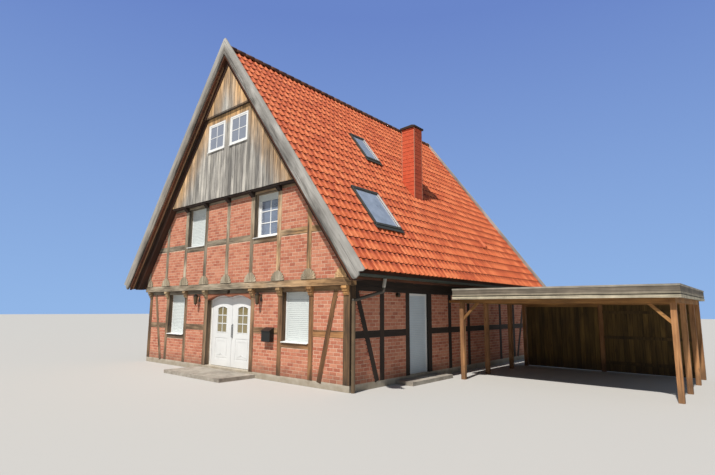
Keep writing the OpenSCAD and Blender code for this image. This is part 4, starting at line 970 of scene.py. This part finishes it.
# ---- doors: glazing bars and mouldings on both leaves, and the pull
OGEE = ((-0.22, 0.50), (-0.09, 0.52), (0.0, 0.565), (0.09, 0.52), (0.22, 0.50))
for s, name in ((1, "front_door_right"), (-1, "front_door_left")):
    t = blank()
    f = -YF + 0.19
    gx, gw, g0, g1 = 0.545, 0.49, 1.24, 2.035
    block(t, s * gx - 0.014, s * gx + 0.014, f + 0.004, f + 0.018, g0, g1, 0.003)
    for z in (g0 + 0.265, g0 + 0.525):
        block(t, s * gx - gw / 2, s * gx + gw / 2, f + 0.005, f + 0.018, z - 0.014, z + 0.014, 0.003)
    # raised moulding round the panes and in the lower panel
    for x in (gx - gw / 2 - 0.012, gx + gw / 2 + 0.012):
        block(t, s * x - 0.009, s * x + 0.009, f - 0.008, f + 0.004, g0 - 0.02, g1 - 0.055, 0.003)
    block(t, s * gx - gw / 2 - 0.02, s * gx + gw / 2 + 0.02, f - 0.008, f + 0.004, g0 - 0.021, g0 - 0.003, 0.003)
    arc = lambda u: (s * gx + u * (gw / 2 + 0.012), f - 0.002, g1 + 0.012 - 0.055 * u * u)
    for k in range(-4, 4):
        beam(t, arc(k / 4), arc((k + 1) / 4), 0.018, 0.012, bevel=0.002, wob=0.0)
    for u, v in zip(OGEE, OGEE[1:]):
        beam(t, (s * gx + u[0], f - 0.001, u[1]), (s * gx + v[0], f - 0.001, v[1]), 0.016, 0.01, bevel=0.002, wob=0.0)
    piece("glazing_bars_" + name[11:], t, "door", name)
t = blank()
block(t, 0.0295, 0.0755, f - 0.0095, f - 0.0075, 1.0595, 1.5005, 0.001)
bmesh.ops.create_cone(t, cap_ends=True, segments=20, radius1=0.0112, radius2=0.0112, depth=0.382,
                      matrix=Matrix.Translation((0.0525, f - 0.048, 1.28)))
piece("door_pull_cover", t, "pull", "front_door_right")

# ---- carport: boards of the back wall and the gates
back = blank()
y = 3.16
n = 18
x0, x1 = 8.64, 11.35
for k in range(n):
    a, b = x0 + (x1 - x0) * k / n, x0 + (x1 - x0) * (k + 1) / n
    for depth in (y - 0.004, y + 0.026):
        beam(back, ((a + b) / 2, depth, 0.017), ((a + b) / 2, depth, 2.298), b - a - 0.008, 0.01, bevel=0.002, wob=0.001)
piece("back_wall_boards", back, "brown")
for s, name in ((0, "gate_left"), (1, "gate_right")):
    t = blank()
    x0, x1 = (6.108, 7.318) if s == 0 else (7.332, 8.542)
    for k in range(8):
        a, b = x0 + (x1 - x0) * k / 8, x0 + (x1 - x0) * (k + 1) / 8
        beam(t, ((a + b) / 2, 3.0935, 0.022), ((a + b) / 2, 3.0935, 2.153), b - a - 0.008, 0.007, bevel=0.002, wob=0.0005)
    if s == 0:
        # strip behind the seam, on the leaf that opens first
        block(t, 7.311, 7.319, 3.1185, 3.134, 0.03, 2.12, 0.001)
        block(t, 7.311, 7.334, 3.126, 3.134, 0.03, 2.12, 0.001)
    piece(name + "_boards", t, "brown", name)

# ---- chimney: small slabs in courses, metal strips on the corners
slabs, strips = blank(), blank()
cx0, cx1, cy0, cy1, ctop = CHIMNEY
mid_x, mid_y = (cx0 + cx1) / 2, (cy0 + cy1) / 2
z = ctop - 0.004
while z > 6.0:
    lo = z - 0.15
    for x, y, n, span in ((cx0, mid_y, (-1, 0, 0), cy1 - cy0), (cx1, mid_y, (1, 0, 0), cy1 - cy0),
                          (mid_x, cy0, (0, -1, 0), cx1 - cx0), (mid_x, cy1, (0, 1, 0), cx1 - cx0)):
        at = (x + n[0] * 0.004, y + n[1] * 0.004)
        if RIDGE - (at[0] + 0.3) * math.tan(PITCH) < z:
            beam(slabs, (*at, lo + 0.012), (*at, z), span - 0.004, 0.008, n, 0.003, 0.0, dice.uniform(0.35, 0.65), 0)
    z = lo
bmesh.ops.bisect_plane(slabs, geom=slabs.verts[:] + slabs.edges[:] + slabs.faces[:], plane_co=(0, 0, RIDGE - 0.09),
                       plane_no=(math.sin(PITCH), 0, math.cos(PITCH)), clear_inner=True)
bmesh.ops.holes_fill(slabs, edges=[e for e in slabs.edges if e.is_boundary])
for x in (cx0, cx1):
    for y in (cy0, cy1):
        beam(strips, (x, y, UNDER - x * math.tan(PITCH) + 0.3), (x, y, ctop), 0.026, 0.026, bevel=0.003, wob=0)
piece("chimney_slabs", slabs, "clad")
piece("chimney_strips", strips, "zinc")

# ---- skylights: frame bars, pale panes and the apron below
metal, edge, panes = blank(), blank(), blank()
for x, y, w, l in SKY:
    m = Matrix.Translation((x, y, RIDGE - x * math.tan(PITCH))) @ Matrix.Rotation(PITCH, 4, "Y")
    t = blank()
    block(t, -l / 2 - 0.02, -l / 2 + 0.085, -w / 2 - 0.01, w / 2 + 0.01, 0.02, 0.05, 0.004)
    block(t, l / 2 - 0.085, l / 2 + 0.01, -w / 2 - 0.01, w / 2 + 0.01, 0.02, 0.05, 0.004)
    block(t, -l / 2, l / 2, -w / 2 - 0.01, -w / 2 + 0.07, 0.02, 0.045, 0.004)
    block(t, l / 2, l / 2 + 0.13, -w / 2 - 0.05, w / 2 + 0.05, 0.016, 0.03, 0.004)
    join(metal, t, m)
    t = blank()
    block(t, -l / 2 + 0.085, l / 2 - 0.085, w / 2 - 0.07, w / 2 + 0.01, 0.02, 0.048, 0.004)
    join(edge, t, m)
    t = blank()
    block(t, -l / 2 + 0.085, l / 2 - 0.085, -w / 2 + 0.07, w / 2 - 0.07, 0.009, 0.014)
    join(panes, t, m)
piece("skylight_bars", metal, "lead")
piece("skylight_edges", edge, "pale_metal")
piece("skylight_panes", panes, "sky_pane")

# ---- verge: a light batten and boards under the overhang, along the slopes
battens, planks = blank(), blank()


def under_slope(bm, s, y, drop, x0, x1, width, depth):
    at = lambda x: (s * x, y, RIDGE - x * math.tan(PITCH) - drop / math.cos(PITCH))
    beam(bm, at(x0), at(x1), width, depth, (s * math.sin(PITCH), 0, math.cos(PITCH)), 0.003, 0.001)


for s in (-1, 1):
    for e in (-1, 1):
        under_slope(battens, s, e * (ROOF_Y - 0.106), 0.248, 0.2, DECK_X - 0.02, 0.042, 0.036)
        under_slope(planks, s, e * (ROOF_Y - 0.176), 0.236, 1.8, DECK_X - 0.03, 0.078, 0.012)
piece("verge_battens", battens, "batten")
piece("verge_boards", planks, "oak_dark")

# ---- a vent tile on the right slope
t = blank()
bmesh.ops.create_cone(t, cap_ends=True, segments=16, radius1=0.1, radius2=0.07, depth=0.34)
bmesh.ops.delete(t, geom=[v for v in t.verts if v.co.x < -0.02], context="VERTS")
stamp(t, 0.3)
vent = blank()
turn = Matrix.Rotation(PITCH, 4, "Y") @ Matrix.Rotation(-math.pi / 2, 4, "Y")
join(vent, t, Matrix.Translation((4.55, 2.9, RIDGE - 4.55 * math.tan(PITCH) + 0.01)) @ turn)
piece("vent_tile", vent, "tile")

# ---- camera, light and floor
cam = bpy.data.cameras.new("camera")
eye = bpy.data.objects.new("camera", cam)
SCENE.collection.objects.link(eye)
SCENE.camera = eye
cam.sensor_width, cam.lens = 36.0, 473.752 / 715 * 36  # the focal length is 473.752 pixels of an image 715 wide
cam.clip_start, cam.clip_end = 0.1, 300
yaw, pitch, roll = (math.radians(v) for v in (40.493, 8.583, 0.388))
fwd = Vector((-math.sin(yaw) * math.cos(pitch), math.cos(yaw) * math.cos(pitch), math.sin(pitch)))
r0 = Vector((math.cos(yaw), math.sin(yaw), 0))
u0 = r0.cross(fwd)
rr = math.cos(roll) * r0 + math.sin(roll) * u0
uu = -math.sin(roll) * r0 + math.cos(roll) * u0
eye.matrix_world = Matrix.Translation((12.866, -14.483, 1.990)) @ Matrix((rr, uu, -fwd)).transposed().to_4x4()

floor = bmesh.new()
bmesh.ops.create_grid(floor, x_segments=1, y_segments=1, size=140)
me = bpy.data.meshes.new("floor")
floor.to_mesh(me)
floor.free()
surface(new_mat("pale_floor"), srgb(190, 188, 184), 0.8)
me.materials.append(M["pale_floor"])
ground = bpy.data.objects.new("floor", me)
ground.location.z = -0.002
SCENE.collection.objects.link(ground)

sun = bpy.data.lights.new("key", "SUN")
sun.energy, sun.color, sun.angle = 4.6, (1.0, 0.96, 0.9), math.radians(1.5)
key = bpy.data.objects.new("key", sun)
SCENE.collection.objects.link(key)
key.location = 40 * Vector((0.1, -0.57, 0.815))
key.rotation_euler = (-key.location).to_track_quat("-Z", "Y").to_euler()
world = bpy.data.worlds.new("studio")
SCENE.world = world
world.use_nodes = True
t = world.node_tree
t.nodes.clear()
path = t.nodes.new("ShaderNodeLightPath")
up = put(t, "SeparateXYZ", {0: put(t, "TexCoord", out=0)}, out=2)
sky = mix(t, ramp(t, up, -0.05, 0.5), srgb(236, 238, 240), srgb(170, 196, 228))
back = mix(t, ramp(t, up, 0.0, 0.55), srgb(146, 182, 230), srgb(106, 134, 200))
col = mix(t, path.outputs["Is Camera Ray"], sky, back)
bg = put(t, "Background", {"Color": col, "Strength": ramp(t, path.outputs["Is Camera Ray"], 0.0, 1.0, 0.34, 1.0)})
out = t.nodes.new("ShaderNodeOutputWorld")
t.links.new(bg, out.inputs[0])
SCENE.view_settings.view_transform = "Standard"
